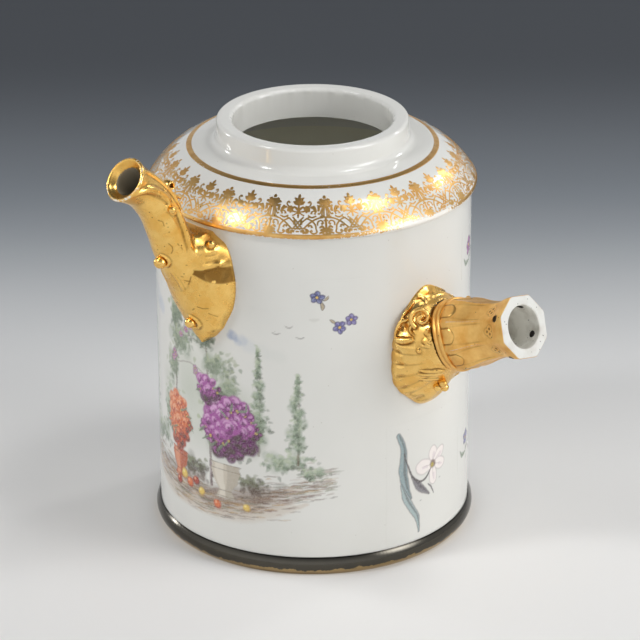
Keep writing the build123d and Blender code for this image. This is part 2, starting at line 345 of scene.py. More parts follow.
neck_top = shoulder_top + neck_height
fillet_centre = (neck_radius + neck_fillet, shoulder_top + neck_fillet)
outer_lip = (neck_radius + neck_flare - lip_round, neck_top - lip_round)
inner_lip = (neck_bore_radius + lip_inner_round, neck_top - lip_inner_round)
neck = turned(
    "glazed_neck_collar",
    [(neck_bore_radius, shoulder_top)]
    + quarter(fillet_centre, neck_fillet, -90, -180, 10)
    + quarter(outer_lip, lip_round, 4, 90, lip_quarter)
    + quarter(inner_lip, lip_inner_round, 90, 180, lip_quarter)
    + [(neck_bore_radius, neck_top - 2.2 * mm)],
)
for vertex in neck.data.vertices:
    turn, radius = math.atan2(vertex.co.y, vertex.co.x), vertex.co.xy.length
    chipped = max(1 - math.hypot(radius - neck_bore_radius, vertex.co.z - neck_top + 0.7 * mm) / mm, 0)
    bite = sum(math.sin(count * turn + 1.3 * count) for count in (5, 23, 37, 61)) / 4
    vertex.co.xy *= 1 + 0.45 * mm * chipped * bite / radius
neck.data.materials.append(white_porcelain)
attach(neck, "root")
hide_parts("neck_collar")

# ---- Foot rim ----
# A cast ring of base silver, half round outside, cemented on the foot. It has tarnished to
# gunmetal, streaked by wiping, and is rubbed to brass along its bottom edge; painted shade darkens its top
# edge.

rim_radius = 50.1 * mm
rim_height = 6 * mm
rim_bulge = 1.4 * mm
rim_wall = 0.15 * mm
rim_flange = 4 * mm
rim_dent = 0.12 * mm


def tarnished_metal(name, dark, brown, rubbed, top):
    """Tarnished white metal: a hard dark skin with fine upright streaks, and painted shade darkening its
    top under the glaze.

    The streaks are 0.8 mm apart. The bottom edge is rubbed to brass in patches of 3 mm.
    """
    material, shader, place = new_material(name)
    drawn = add_node(material, "Mapping", {"Vector": place, "Scale": (1, 1, 0.12)})
    streaks = noise(material, drawn.outputs["Vector"], 0.8 * mm, 3.0)
    patches = noise(material, place, 3 * mm, 5.0, 0.62)
    height = add_node(material, "SeparateXYZ", {"Vector": place}).outputs["Z"]
    wander = {0: patches, 1: -4.0 * mm, 2: height}
    edge = add_node(material, "Math", wander, operation="MULTIPLY_ADD").outputs[0]
    rub = ramp(material, edge, -0.25 * mm, 0.1 * mm, 1.0, 0.0)
    # painted shade: the metal is darkened near its top edge, where it meets the glazed wall
    painted_top_shade = ramp(material, height, top - 0.5 * mm, top - 0.1 * mm, 0.0, 0.85)
    top_shaded = mixed(material, painted_top_shade, mixed(material, patches, dark, brown), "#1d1a16")
    sockets = {
        "Base Color": mixed(material, rub, top_shaded, rubbed),
        "Metallic": 1.0,
        "Roughness": ramp(material, streaks, 0.0, 1.0, 0.10, 0.24, smooth=False),
        "Normal": bumped(material, streaks, 0.12, 0.15 * mm),
    }
    fill(material, shader, sockets)
    return material


rim = turned(
    "tarnished_foot_rim",
    arc((body_radius - 0.2 * mm, 0), (rim_radius + rim_wall, rim_height), -rim_bulge, steps=16)
    + [(rim_radius, rim_height - 0.05 * mm), (rim_radius, rim_seat)]
    + [(rim_radius - rim_flange, rim_seat), (rim_radius - rim_flange, 0)],
    sides=288,
)
draw = random.Random(5)
knocks = [(draw.uniform(0, math.tau), draw.uniform(2, 7), draw.uniform(0.3, 1)) for _ in range(26)]
for vertex in rim.data.vertices:
    turn = math.atan2(vertex.co.y, vertex.co.x)
    if vertex.co.z > 0.1 * mm and vertex.co.xy.length > rim_radius:
        depth = 0
        for knock, width, share in knocks:
            away = math.remainder(turn - knock, math.tau)
            depth += share * math.exp(-((away * body_radius / (width * mm)) ** 2))
        vertex.co.xy *= 1 - min(depth, 1) * rim_dent / vertex.co.xy.length
rim.data.materials.append(
    tarnished_metal("tarnished_base_silver", "#4d4b47", "#5a564d", "#b29a70", rim_height)
)
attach(rim, "root")
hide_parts("foot_rim")

# ---- Spout ----
# Moulded in clay with its root leaf and luted to the wall over the pour hole. Ridges and folds
# of rococo leafage run down it, and all of it but the bore is covered in burnished gilding.

spout_stations = [  # reach beyond the wall, rise above the pour hole, tilt, half depth, half width
    (-9.0, -14.0, 50, 7.5, 8.0),
    (-3.4, -6.8, 50, 8.0, 9.0),
    (0.0, -1.5, 55, 7.9, 9.5),
    (5.0, 6.0, 62, 7.3, 8.0),
    (10.4, 15.5, 65, 6.9, 7.0),
    (13.4, 22.6, 62, 6.6, 6.6),
    (17.7, 30.8, 52, 6.2, 6.2),
    (23.2, 37.0, 42, 5.9, 5.9),
    (27.8, 40.6, 38, 6.5, 6.3),
    (30.0, 42.2, 38, 7.15, 6.8),
]
spout_wall = 2.4
lip_width = 1.25
pour_way = Vector((-0.788, 0, 0.616))  # the way that the mouth faces
clay_grain = 0.32 * mm


def between(rows, place):
    """A row of numbers at a place among rows, on a smooth curve through them."""
    first = min(int(place), len(rows) - 2)
    share = place - first
    before, start = rows[max(first - 1, 0)], rows[first]
    end, after = rows[first + 1], rows[min(first + 2, len(rows) - 1)]
    values = []
    for p, q, r, s in zip(before, start, end, after):
        bend = 2 * p - 5 * q + 4 * r - s
        twist = 3 * q - p - 3 * r + s
        values.append(q + share * (r - p + share * (bend + share * twist)) / 2)
    return values


def on_spout(place, angle, out=0.0):
    """A point out beyond the tube's skin, at a station and an angle round from its outer ridge."""
    reach, rise, tilt, depth, width = between(spout_stations, place)
    along = (depth + out) * math.cos(math.radians(angle))
    across = (width + out) * math.sin(math.radians(angle))
    lean = math.radians(tilt)
    reach += along * math.sin(lean)
    rise -= along * math.cos(lean)
    return Vector((-(body_radius / mm + reach), -across, pour_hole_height / mm + rise)) * mm


def sheet(columns, rows, shape):
    """A grid whose vertices are moved to shape(across, along), each running from 0 to 1."""
    pick()
    bpy.ops.mesh.primitive_grid_add(x_subdivisions=columns, y_subdivisions=rows, size=1)
    piece = bpy.context.object
    for vertex in piece.data.vertices:
        vertex.co = shape(vertex.co.x + 0.5, vertex.co.y + 0.5)
    edited(remove_doubles={"threshold": doubled}, normals_make_consistent={"inside": False})
    return piece


def ball(place, radius, stretch=(1, 1, 1)):
    """A ball of clay, stretched along X, Y and Z."""
    pick()
    bpy.ops.mesh.primitive_uv_sphere_add(
        segments=32, ring_count=16, radius=radius, location=place, scale=stretch
    )
    return bpy.context.object


def rolls(strokes, kind="NURBS", rounds=3):
    """Rolls with closed ends, each along its (point, radius in millimetres) pairs, as one object."""
    pick()
    bpy.ops.curve.primitive_nurbs_path_add()
    curve = bpy.context.object
    curve.data.splines.clear()
    for stroke in strokes:
        spline = curve.data.splines.new(kind)
        spline.points.add(len(stroke) - 1)
        for handle, (point, radius) in zip(spline.points, stroke):
            handle.co = (*point, 1)
            handle.radius = radius
        spline.use_endpoint_u = True
        spline.order_u = 3
    curve.data.bevel_depth = 1 * mm
    curve.data.bevel_resolution = rounds
    curve.data.use_fill_caps = True
    bpy.ops.object.convert(target="MESH")
    return bpy.context.object


def roll(points, radii):
    """A roll of clay along points, with a radius at each."""
    return rolls([[(point, radius / mm) for point, radius in zip(points, radii)]])


def moulded(name, forms, grain):
    """Forms pressed into one: joined, remeshed at a grain and rubbed smooth, as wet clay is."""
    pick(*forms)
    bpy.ops.object.join()
    apply(forms[0], "REMESH", mode="VOXEL", voxel_size=grain)
    apply(forms[0], "SMOOTH", iterations=3)
    return finished(name, angle=60)


def swell(value, low, high):
    """Runs smoothly from 0 to 1 as a value goes from low to high."""
    share = min(max((value - low) / (high - low), 0), 1)
    return share * share * (3 - 2 * share)


def spout_skin(across, along):
    """The tube's closed skin: out along its outside, over the lip and back down the bore."""
    angle = 360 * across
    last = len(spout_stations) - 1
    if along < 0.5:
        place = 2 * along * last
        hollow = hump(abs(math.remainder(angle, 360)), 134 - 3 * (4.5 - place), 36)
        hollow *= swell(place, 2.4, 3.6) * (1 - swell(place, 5.6, 6.6))
        return on_spout(place, angle, -0.9 * hollow)
    if along < 0.56:
        roll_share = (along - 0.5) / 0.06
        over = 0.4 * math.sin(math.pi * roll_share)
        return on_spout(last, angle, -lip_width * roll_share) + pour_way * over * mm
    if along > 0.999:
        return on_spout(0, angle)
    place = last * (1 - (along - 0.56) / 0.44)
    flare = swell(place, last - 0.9, last)
    return on_spout(place, angle, -spout_wall + (spout_wall - lip_width) * flare)


leaf_height = 38.3
leaf_rows = [  # height above its tip, half width
    (1.1, 0.2),
    (3.6, 3.9),
    (7.0, 7.3),
    (14.5, 11.6),
    (22.5, 13.2),
    (31.0, 12.3),
    (35.2, 10.4),
    (leaf_height, 5.8),
]
leaf_tip_height = 74.15 * mm
leaf_lean = 3.0  # how far its tip lies towards the handle
swag_across, swag_height = 8.6, 36.2  # the bead that each of its two swags hangs from
tube_back = 48.4 * mm  # radius of the cut that ends the tube inside the wall
luted_back = 48.6 * mm  # radius that the backs of the luted reliefs lie on, inside the wall


def leaf_half_width(height):
    """Half the leaf's width at a height above its tip, in millimetres."""
    heights = [row[0] for row in leaf_rows]
    place = float(np.interp(height, heights, range(len(leaf_rows))))
    return max(between(leaf_rows, place)[1], 0.2)


def shelf_height(across):
    """Height of the leaf's shelf above its tip, which drops away from its midrib."""
    return 23.2 + 0.07 * max(13 - abs(across), 0) ** 2


def hump(value, middle, width):
    """A smooth hump of height 1 about a middle."""
    return math.exp(-(((value - middle) / width) ** 2))


def leaf_height_out(across, height):
    """How far the leaf stands out from the wall, at a distance from its midrib and above its tip."""
    across = abs(across)
    side = across / leaf_half_width(height)
    edge = 1.5 * (1 - side**6)
    shelf = shelf_height(across)
    low = 1 - min(max((height - shelf) / max(29.2 - shelf, 2.4), 0), 1)
    ridge = float(np.interp(height, (0, 5, 9, 14, 20, 26), (0.6, 2.6, 4.4, 6.5, 8.6, 9.4)))
    belly = ridge * max(1 - side**2.1, 0) ** 0.85
    upper = 3.2 * max(1 - side**5, 0) ** 0.8
    upper += 4.3 * (1 - swell(across, 6.5, 10.5)) * max(1 - side**4, 0)
    out = edge + low * belly + (1 - low) * upper
    ledge = 29.5 + 0.1 * (across - 7)  # a moulding over the shelf
    out += 1.0 * hump(height, ledge, 0.75) * swell(across, 5.0, 6.4) * (1 - swell(across, 10.6, 12))
    fold = swag_across + 0.9 + 0.15 * (swag_height - height)  # a raised edge beyond each swag
    within = swell(across, 5.4, 6.6) * (1 - swell(across, fold - 0.6, fold + 0.2))
    for reach, strength in ((2.4, 0.8), (4.3, 0.6)):
        away = math.hypot((across - swag_across) * 1.1, height - swag_height)
        out += strength * hump(away, reach, 0.7) * swell(swag_height - height, -0.5, 1.2) * within
    out += 0.55 * hump(across, fold, 0.55) * swell(height, 28.5, 30) * (1 - swell(height, 35.5, 37.5))
    return max(out, 0.25)


def on_leaf(offset, height, out=0.0):
    """A point out from the leaf's face, at an offset from its midrib and a height above its tip."""
    radius = body_radius + (leaf_height_out(offset, height) + out) * mm
    turn = (offset + leaf_lean * max(1 - height / leaf_height, 0) ** 1.5) * mm / body_radius
    up = leaf_tip_height + height * mm
    return Vector((-radius * math.cos(turn), -radius * math.sin(turn), up))


def off_midrib(point):
    """How far round the wall a point lies from straight under the spout, in millimetres."""
    turn = math.remainder(math.atan2(point.y, point.x) - math.pi, math.tau)
    return abs(turn) * body_radius / mm


def leaf_skin(across, along):
    """The leaf's face, wrapped on the wall with its midrib under the spout."""
    height = 1.1 + 37.2 * along
    return on_leaf((2 * across - 1) * leaf_half_width(height), height)


def backed(piece, radius):
    """Gives a sheet on the wall a back, on a cylinder of a radius inside the wall's face."""
    pick(piece)
    edited(extrude_region_move={})
    for vertex in piece.data.vertices:
        if vertex.select:
            vertex.co.xy *= radius / vertex.co.xy.length
    edited(normals_make_consistent={"inside": False})
    return piece


tube = sheet(64, 150, spout_skin)
pick()
bpy.ops.mesh.primitive_cylinder_add(
    vertices=240, radius=tube_back, depth=80 * mm, location=(0, 0, pour_hole_height)
)
cut_away(tube, bpy.context.object)
leaf = backed(sheet(72, 100, leaf_skin), luted_back)


def in_groove(place, side):
    """The place where the tube's flank meets the leaf, on the side of across +1 or -1."""
    for angle in range(64, 180, 2):
        point = on_spout(place, side * angle)
        height = min((point.z - leaf_tip_height) / mm, 38)
        out = leaf_height_out(off_midrib(point), height)
        if (point.xy.length - body_radius) / mm < out + 0.6:
            break
    return point


def rows_of(parts, field):
    """A field of a mesh's vertices or faces, read into rows of three."""
    values = np.empty(len(parts) * 3)
    parts.foreach_get(field, values)
    return values.reshape(-1, 3)


def nearest_gap(places, points):
    """How far each place is from the nearest of some points."""
    gap = np.full(len(places), 1.0)
    for point in points:
        gap = np.minimum(gap, np.linalg.norm(places - np.array(point), axis=1))
    return gap


def mark_ridges(piece, passes=3):
    """Keeps on each vertex how far it stands above its neighbours' mean: ridges over 0, hollows under."""
    mesh = piece.data
    count = len(mesh.vertices)
    places = rows_of(mesh.vertices, "co")
    normals = rows_of(mesh.vertices, "normal")
    ends = np.empty(len(mesh.edges) * 2, int)
    mesh.edges.foreach_get("vertices", ends)
    ends = ends.reshape(-1, 2)
    shared = np.maximum(np.bincount(ends.ravel(), minlength=count), 1)[:, None]

    def neighbours(values):
        total = np.zeros_like(values)
        np.add.at(total, ends[:, 0], values[ends[:, 1]])
        np.add.at(total, ends[:, 1], values[ends[:, 0]])
        return total / shared

    lengths = np.linalg.norm(places[ends[:, 0]] - places[ends[:, 1]], axis=1)
    spacing = np.median(lengths)
    height = ((places - neighbours(places)) * normals).sum(1, keepdims=True)
    ridge = height * mm / spacing**2
    for soften in range(passes):
        ridge = (ridge + neighbours(ridge)) / 2
    attribute = mesh.attributes.new("ridge", "FLOAT", "POINT")
    attribute.data.foreach_set("value", ridge.ravel().astype(np.float32))


def burnished_gilding(name, gold, warm, bare, worn_from, worn_to, dull=0.0):
    """Honey gilding, fired over the glaze and burnished: satin gold, with painted shade making it darker
    and warmer in its hollows.

    The burnisher's mottling is 5 mm wide, its strokes 1.4 mm, and pits of 0.2 mm stay ungilt.
    Ridges are rubbed through to bare porcelain, in flecks of 0.6 mm.
    """
    material, shader, place = new_material(name)
    mottle = noise(material, place, 5 * mm, 4.0, 0.6)
    curve = add_node(material, "Attribute", attribute_name="ridge").outputs["Fac"]
    # painted shade: hollows, and places marked as hollows, are darkened towards brown
    hollow = ramp(material, curve, -0.35, -0.02, 0.85, 0.0, smooth=False)
    pit = spots(material, place, 2.6 * mm, 0.05, 0.09, 0.9)
    flecks = {0: noise(material, place, 0.6 * mm, 3.0), 1: 0.5, 2: curve}
    rubbed = add_node(material, "Math", flecks, operation="MULTIPLY_ADD").outputs[0]
    wear = ramp(material, rubbed, worn_from, worn_to)
    tone = mixed(material, ramp(material, mottle, 0.3, 0.7, smooth=False), gold, warm)
    shaded = mixed(material, hollow, tone, "#6b4314")
    pitted = mixed(material, pit, shaded, "#2a1a08")
    metal = add_node(material, "Math", {0: 1.0, 1: wear}, operation="SUBTRACT")
    brushed = bumped(material, noise(material, place, 1.4 * mm, 5.0), 0.35, 0.12 * mm)
    sockets = {
        "Base Color": mixed(material, wear, pitted, bare),
        "Metallic": metal.outputs[0],
        "Roughness": ramp(material, mottle, 0.35, 0.65, 0.18 + dull, 0.34 + dull, smooth=False),
        "Normal": bumped(material, pit, 0.6, 0.15 * mm, brushed, invert=True),
    }
    fill(material, shader, sockets)
    return material


spout_gilding = burnished_gilding("burnished_spout_gilding", "#fbd07a", "#edb85c", "#ece6da", 1.0, 1.15)


def tapered(path, seat, radius, thin):
    """A roll through the places of a path, each put on its seat, fading at both ends."""
    steps = 6 * (len(path) - 1)
    points, radii = [], []
    for step in range(steps + 1):
        points.append(seat(*between(path, step / 6)))
        radii.append(radius * math.sin(math.pi * (thin + (1 - 2 * thin) * step / steps)))
    return roll(points, radii)


def cup(seat, start, sweep, reach, radius):
    """A curled lip of leaf round a bead: a roll about its seat, which is given in the seat's own plane."""
    points, radii = [], []
    for share in np.linspace(0, 1, 13):
        turn = math.radians(start + sweep * share)
        far = reach * (1.15 - 0.3 * share)
        points.append(seat(far * math.cos(turn), far * math.sin(turn)))
        radii.append(radius * (0.35 + 0.65 * math.sin(math.pi * min(share * 0.9 + 0.1, 1))))
    return roll(points, radii)


spout_forms = [tube, leaf]
for side in (1, -1):
    for path, radius in (
        (((8.7, 60), (8.2, 76), (7.6, 92), (6.9, 102), (6.35, 106), (6.1, 96)), 1.3 * mm),
        (((8.7, 128), (8.0, 136), (7.0, 142), (6.2, 140), (5.4, 132)), 0.9 * mm),
        (((6.6, 122), (5.8, 112), (5.0, 103), (4.2, 96), (3.4, 90), (2.7, 84)), 1.1 * mm),
        (((6.3, 84), (5.95, 88), (5.7, 98), (5.9, 108)), 0.6 * mm),
        (((3.6, 16), (3.2, 24), (2.6, 22)), 0.5 * mm),
    ):
        path = [(place, side * angle) for place, angle in path]
        off_skin = 0.05 * radius / mm - 0.15  # how far its middle stands off the skin
        spout_forms.append(tapered(path, lambda *place: on_spout(*place, off_skin), radius, 0.12))
spout_forms.append(cup(lambda a, b: on_spout(4.0 + b / 9, 8 + 8.8 * a, 0.25), 80, -250, 2.15, 0.6 * mm))
spout_forms.append(cup(lambda a, b: on_spout(6.0 + b / 9, 93 + 9 * a, 0.1), 150, -270, 1.5, 0.45 * mm))
spout_forms.append(cup(lambda a, b: on_leaf(0.5 + a, 9.1 + b, 0.3), 100, -240, 2.15, 0.6 * mm))
for side in (1, -1):
    turn = side * swag_across * mm / body_radius
    radius = body_radius + 4.7 * mm
    seat = (-radius * math.cos(turn), -radius * math.sin(turn), leaf_tip_height + swag_height * mm)
    spout_forms.append(ball(seat, 1.4 * mm))
spout = moulded("gilt_spout_and_leaf", spout_forms, clay_grain)
joint = spout.vertex_groups.new(name="joint")
grooves = [in_groove(place, side) for side in (1, -1) for place in np.linspace(2.2, 5.6, 40)]
groove_reach = 3.2 * mm
for index, gap in enumerate(nearest_gap(rows_of(spout.data.vertices, "co"), grooves)):
    if gap < groove_reach:
        joint.add([index], min((groove_reach - gap) / mm, 1), "REPLACE")
apply(spout, "SMOOTH", vertex_group="joint", iterations=130)
mark_ridges(spout)


def chase(piece, paths, width, depth):
    """Presses chased lines in along paths, and keeps them on the vertices as hollows, which the gilding
    darkens as painted shade.
    """
    places = rows_of(piece.data.vertices, "co")
    pressed = np.zeros(len(places))
    for path in paths:
        for share in np.linspace(0, len(path) - 1, 14 * (len(path) - 1) + 1):
            step = min(int(share), len(path) - 2) if len(path) > 1 else 0
            point = path[step].lerp(path[min(step + 1, len(path) - 1)], share - step)
            gap = np.linalg.norm(places - np.array(point), axis=1)
            pressed = np.maximum(pressed, np.clip(1.4 - gap / width, 0, 1))
    for index in np.nonzero(pressed)[0]:
        vertex = piece.data.vertices[index]
        piece.data.attributes["ridge"].data[index].value -= 0.3 * pressed[index]
        vertex.co -= vertex.normal * depth * pressed[index]


chased = [
    ((3.2, 39), (3.14, 47), (3.08, 58)),
    ((3.04, 43), (3.14, 50), (3.25, 57)),
    ((3.36, 37), (3.33, 41)),
    ((2.86, 52), (2.84, 58)),
    ((4.82, 44), (4.6, 50), (4.42, 48), (4.3, 42)),
    ((4.62, 66), (4.5, 68)),
    ((4.38, 71), (4.25, 73)),
    ((5.95, 45), (5.8, 54), (5.62, 52)),
    ((5.5, 60), (5.48, 61)),
    ((5.3, 57), (5.28, 58)),
    ((5.66, 61), (5.64, 62)),
    ((3.66, 62), (3.64, 64)),
]
lines = [[on_spout(place, side * angle) for place, angle in line] for line in chased for side in (1, -1)]
leaf_chased = [
    ((4.4, 15.8), (5.6, 15.4), (7.0, 15.5)),
    ((6.6, 13.6), (8.2, 12.3)),
    ((2.4, 14.2), (3.2, 14.9)),
]
for side in (1, -1):
    for line in leaf_chased:
        lines.append([on_leaf(side * across, height) for across, height in line])
chase(spout, lines, 0.22 * mm, 0.07 * mm)
ridges = spout.data.attributes["ridge"].data
for vertex in spout.data.vertices:  # painted shade: the facet under the ledge, and the leaf beyond its fold, are marked as hollows and turn dark
    across = off_midrib(vertex.co)
    height = (vertex.co.z - leaf_tip_height) / mm
    out = (vertex.co.xy.length - body_radius) / mm - leaf_height_out(across, min(height, 38.2))
    if height > 20 and across > 5 and (out < 0.8 or across > 10.5):
        shelf = shelf_height(across)
        facet = swell(height, shelf, shelf + 0.8) * (1 - swell(height, 28.2, 29.0))
        beyond = swell(height, 28.6, 29.6) * swell(across, 9.6, 10.8)
        ridges[vertex.index].value -= 0.36 * facet + 0.2 * beyond
mouth = len(spout_stations) - 1
sheltered = Vector((-0.5, 0.5, 0.7))  # the side of the lip that is rubbed least
lip_middle = on_spout(mouth, 0, -spout_stations[mouth][3])
for vertex in spout.data.vertices:
    from_middle = vertex.co - lip_middle
    if from_middle.dot(pour_way) > -0.5 * mm:
        ridges[vertex.index].value += 0.34 - 0.07 * from_middle.dot(sheltered) / (7 * mm)
spout.data.materials.append(spout_gilding)
# the bore is glazed a dark grey brown, darker than the outer glaze
spout.data.materials.append(glazed_porcelain("dark_grey_brown_bore", "#a29b89", "#786f5e"))
bore_line = [on_spout(place, 0, -between(spout_stations, place)[3]) for place in np.linspace(0, 7.8, 60)]
bore_reach = (6.3 - spout_wall + 0.9) * mm  # the bore at its widest, and a little more
in_bore = nearest_gap(rows_of(spout.data.polygons, "center"), bore_line) < bore_reach
spout.data.polygons.foreach_set("material_index", in_bore.astype(np.int32))
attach(spout, "root")
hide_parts("spout_tube", "spout_root_leaf")

# ---- Beads and curl on the spout ----
# Balls of clay pressed into the leafage, and the rolled tip of its back leaf. They are gilt
# with the spout and burnished brightest, as they stand proud.

bead_gilding = burnished_gilding("bright_bead_gilding", "#fad07e", "#eab65e", "#ece6da", 1.6, 1.8)
beads = []
for place, angle, radius in ((4.0, 8, 2.0), (6.0, 91, 1.35)):
    beads.append(ball(on_spout(place, angle, 0.55 * radius), radius * mm, (0.97, 1.03, 0.96)))
beads.append(ball(on_leaf(0.2, 9.1, 0.9), 1.75 * mm, (0.97, 1.03, 0.96)))
spout_beads = moulded("gilt_spout_beads", beads, 0.16 * mm)
mark_ridges(spout_beads)
spout_beads.data.materials.append(bead_gilding)
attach(spout_beads, "root")
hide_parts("spout_beads")

curl_points, curl_radii = [], []
for share in np.linspace(0, 1, 34):
    turn = math.radians(-105 + 470 * share)
    reach = 2.0 * (1 - 0.72 * share)
    rise = reach * math.sin(turn) - 2.6 * max(0.12 - share, 0) / 0.12
    curl_points.append(on_spout(6.0 + rise / 8.3, 180, 1.0 - reach * math.cos(turn)))
    curl_radii.append((0.62 - 0.16 * share) * mm)
curl_roll = roll(curl_points, curl_radii)  # drawn thin, and widened here to the leaf's breadth
for vertex in curl_roll.data.vertices:
    vertex.co.y *= 3.0
curl = moulded("gilt_spout_curl", [curl_roll], 0.18 * mm)
mark_ridges(curl)
curl.data.materials.append(bead_gilding)
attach(curl, "root")
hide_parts("spout_curl")

# ---- Handle socket ----
# An octagonal baluster, moulded with tongues at its root and a beaded edge down each corner, and
# gilt to the rim of its blind bore. Its end was wiped bare in the kiln, so it shows white clay.

socket_height = 54.6  # where its axis meets the pot's axis, in millimetres
socket_tilt = math.radians(21.7)
socket_twist = math.radians(11.5)
socket_sides = 8
shank_radius = 9.6
socket_stations = [  # distance beyond the wall along the axis, radius to a corner, in millimetres
    (12.6, 10.9),
    (14.0, 11.4),
    (16.2, 11.6),
    (20.4, 11.1),
    (26.4, 9.7),
    (31.8, 9.0),
    (35.4, 9.1),
    (39.0, 10.0),
    (41.7, 10.3),
]
socket_end = 41.7
bore_radius = 6.65
bore_depth = 36.0
pin_radius = 1.1
pin_inset = 3.2
pin_corner, peg_corner = 3, 1

root_up = socket_height + body_radius / mm * math.tan(socket_tilt)
socket_frame = Matrix.Translation((0, -body_radius, root_up * mm)) @ Matrix.Rotation(
    math.pi / 2 - socket_tilt, 4, "X"
)


def octagon(turn, corner_radius, sharpness=44):
    """Radius of a softened octagon at a turn from a corner."""
    half = math.pi / socket_sides
    faces = [max(math.cos(turn - half - 2 * half * side), 0) for side in range(socket_sides)]
    return corner_radius * math.cos(half) / sum(face**sharpness for face in faces) ** (1 / sharpness)


def saddle(around, distance):
    """How far the root is pushed out at its two sides, where the moulded collar rises as a saddle."""
    return 3.0 * math.cos(around) ** 2 * (1 - swell(distance, 13.5, 27))


def socket_relief(turn, distance, radius):
    """Tongues at the root of each face, a bead down each corner and a trefoil at the waist."""
    side = math.pi / socket_sides
    across = abs(math.remainder(turn - side, 2 * side)) * radius
    tongue = 1 - swell(distance + 0.3 * across**2, 19.3, 20.2)
    tongue *= 1 - swell(across, 2.1, 2.6)
    corner = abs(math.remainder(turn, 2 * side)) * radius
    bead = hump(corner, 0, 0.4) * swell(distance, 15.5, 17.5) * (1 - swell(distance, 31, 33))
    groove = hump(across, 2.9, 0.5) * swell(distance, 18.2, 19.0) * (1 - swell(distance, 29, 31))
    trefoil = 0
    for beside, along in ((0, 34.0), (-0.9, 35.2), (0.9, 35.2)):
        offset = math.remainder(turn - side, 2 * side) * radius
        trefoil += hump(math.hypot(offset - beside, distance - along), 0.75, 0.3)
    return 0.32 * tongue + 0.2 * bead - 0.05 * groove + 0.13 * trefoil


socket_skin_rows = (  # share of the sheet, distance along the axis, radius, how far octagonal
    (0.0, 1.0, 0.02, 0),
    (0.02, 1.0, shank_radius, 0),
    (0.08, 12.5, shank_radius, 0),
    (0.09, 12.6, 10.9, 1),
    (0.60, 41.4, 10.3, 1),
    (0.61, socket_end, 9.95, 1),
    (0.66, socket_end, bore_radius + 0.35, 0),
    (0.67, 41.4, bore_radius, 0),
    (0.96, socket_end - bore_depth, bore_radius, 0),
    (1.0, socket_end - bore_depth, 0.02, 0),
)


def socket_skin(across, along):
    """The socket's closed skin: shank, baluster, end face, bore and the bore's blind end."""
    rows = socket_skin_rows
    upper = next(index for index, row in enumerate(rows) if row[0] >= along - 1e-9) or 1
    low, high = rows[upper - 1], rows[upper]
    share = (along - low[0]) / (high[0] - low[0])
    distance = low[1] + (high[1] - low[1]) * share
    radius = low[2] + (high[2] - low[2]) * share
    angular = low[3] + (high[3] - low[3]) * share
    turn = math.tau * across
    if low[3] == high[3] == 1 and distance > socket_stations[0][0]:
        places = [row[0] for row in socket_stations]
        place = float(np.interp(distance, places, range(len(places))))
        radius = between(socket_stations, place)[1] if distance < 41.45 else radius
        radius += socket_relief(turn, distance, radius)
    around = octagon(turn, radius) * angular + radius * (1 - angular)
    turn += socket_twist
    if 0.08 < along < 0.6:
        distance += saddle(turn, distance)
    return socket_frame @ (Vector((around * math.cos(turn), around * math.sin(turn), distance)) * mm)


def biscuit_clay(name, light, dirt, dirty):
    """Unglazed hard-paste clay: chalk white and matt, with a fine tooth and specks of kiln dirt."""
    material, shader, place = new_material(name)
    soiling = ramp(material, noise(material, place, 5 * mm, 4.0), 0.45, 0.75, 0.0, dirty, smooth=False)
    speck = spots(material, place, 1.9 * mm, 0.07, 0.12, 0.8, smooth=False)
    sockets = {
        "Base Color": mixed(material, speck, mixed(material, soiling, light, dirt), "#4a4236"),
        "Roughness": 0.55,
        "Normal": bumped(material, noise(material, place, 0.5 * mm, 3.0), 0.25, 0.1 * mm),
    }
    fill(material, shader, sockets)
    return material


socket_gilding = burnished_gilding(
    "rubbed_socket_gilding", "#f7cb7c", "#dfa655", "#d8c3b2", 0.78, 1.04, dull=0.12
)


def welded(piece, gap):
    """Closes a piece at its poles and where it was cut: vertices within a gap are merged."""
    pick(piece)
    edited(
        remove_doubles={"threshold": gap}, dissolve_degenerate={"threshold": gap / 2}, delete_loose={}
    )


socket = sheet(208, 220, socket_skin)
welded(socket, 0.03 * mm)
pin_ways = [socket_twist + math.tau * corner / socket_sides for corner in (pin_corner, peg_corner)]
for way, reach, depth in zip(pin_ways, (0, 9), (30, 10)):
    outward = Vector((math.cos(way), math.sin(way), 0))
    middle = outward * (reach * mm) + Vector((0, 0, (socket_end - pin_inset) * mm))
    pick()
    bpy.ops.mesh.primitive_cylinder_add(vertices=32, radius=pin_radius * mm, depth=depth * mm)
    pin = bpy.context.object
    aim = outward.to_track_quat("Z", "X").to_matrix().to_4x4()
    pin.data.transform(socket_frame @ Matrix.Translation(middle) @ aim)
    cut_away(socket, pin)
welded(socket, 0.01 * mm)
socket = finished("gilt_octagonal_socket", angle=35)
mark_ridges(socket, passes=1)
to_socket = socket_frame.inverted()
for vertex, ridge in zip(socket.data.vertices, socket.data.attributes["ridge"].data):
    if (to_socket @ vertex.co).z < 19 * mm:
        ridge.value = min(ridge.value, 0.42)
socket.data.materials.append(socket_gilding)
socket.data.materials.append(biscuit_clay("biscuit_socket_end", "#dddcd6", "#a99e8a", 0.35))
# painted light: the bore's clay is lighter than the end face's, against the shade in it; its soiling is
# dirt
socket.data.materials.append(biscuit_clay("soiled_and_lightened_socket_bore", "#f2f0e8", "#9a917f", 0.6))
# painted shade: the pin holes are coloured near black
socket.data.materials.append(biscuit_clay("painted_shade_in_pin_holes", "#3a2f24", "#17110b", 0.9))
for face in socket.data.polygons:
    middle = to_socket @ face.center / mm
    out = math.hypot(middle.x, middle.y)
    off_pin = min(
        math.hypot(middle.x * math.sin(way) - middle.y * math.cos(way), middle.z - socket_end + pin_inset)
        for way in pin_ways
    )
    if off_pin < pin_radius + 0.02 and out > bore_radius + 0.02:
        face.material_index = 3
    elif out < bore_radius + 0.2 and middle.z > socket_end - 0.1 - bore_depth:
        face.material_index = 2
    elif middle.z > socket_end - 0.2:
        face.material_index = 1
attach(socket, "root")
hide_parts("handle_socket")

# ---- Collar ring ----
# A turned double ring that covers the joint between socket and shell, gilt with them.

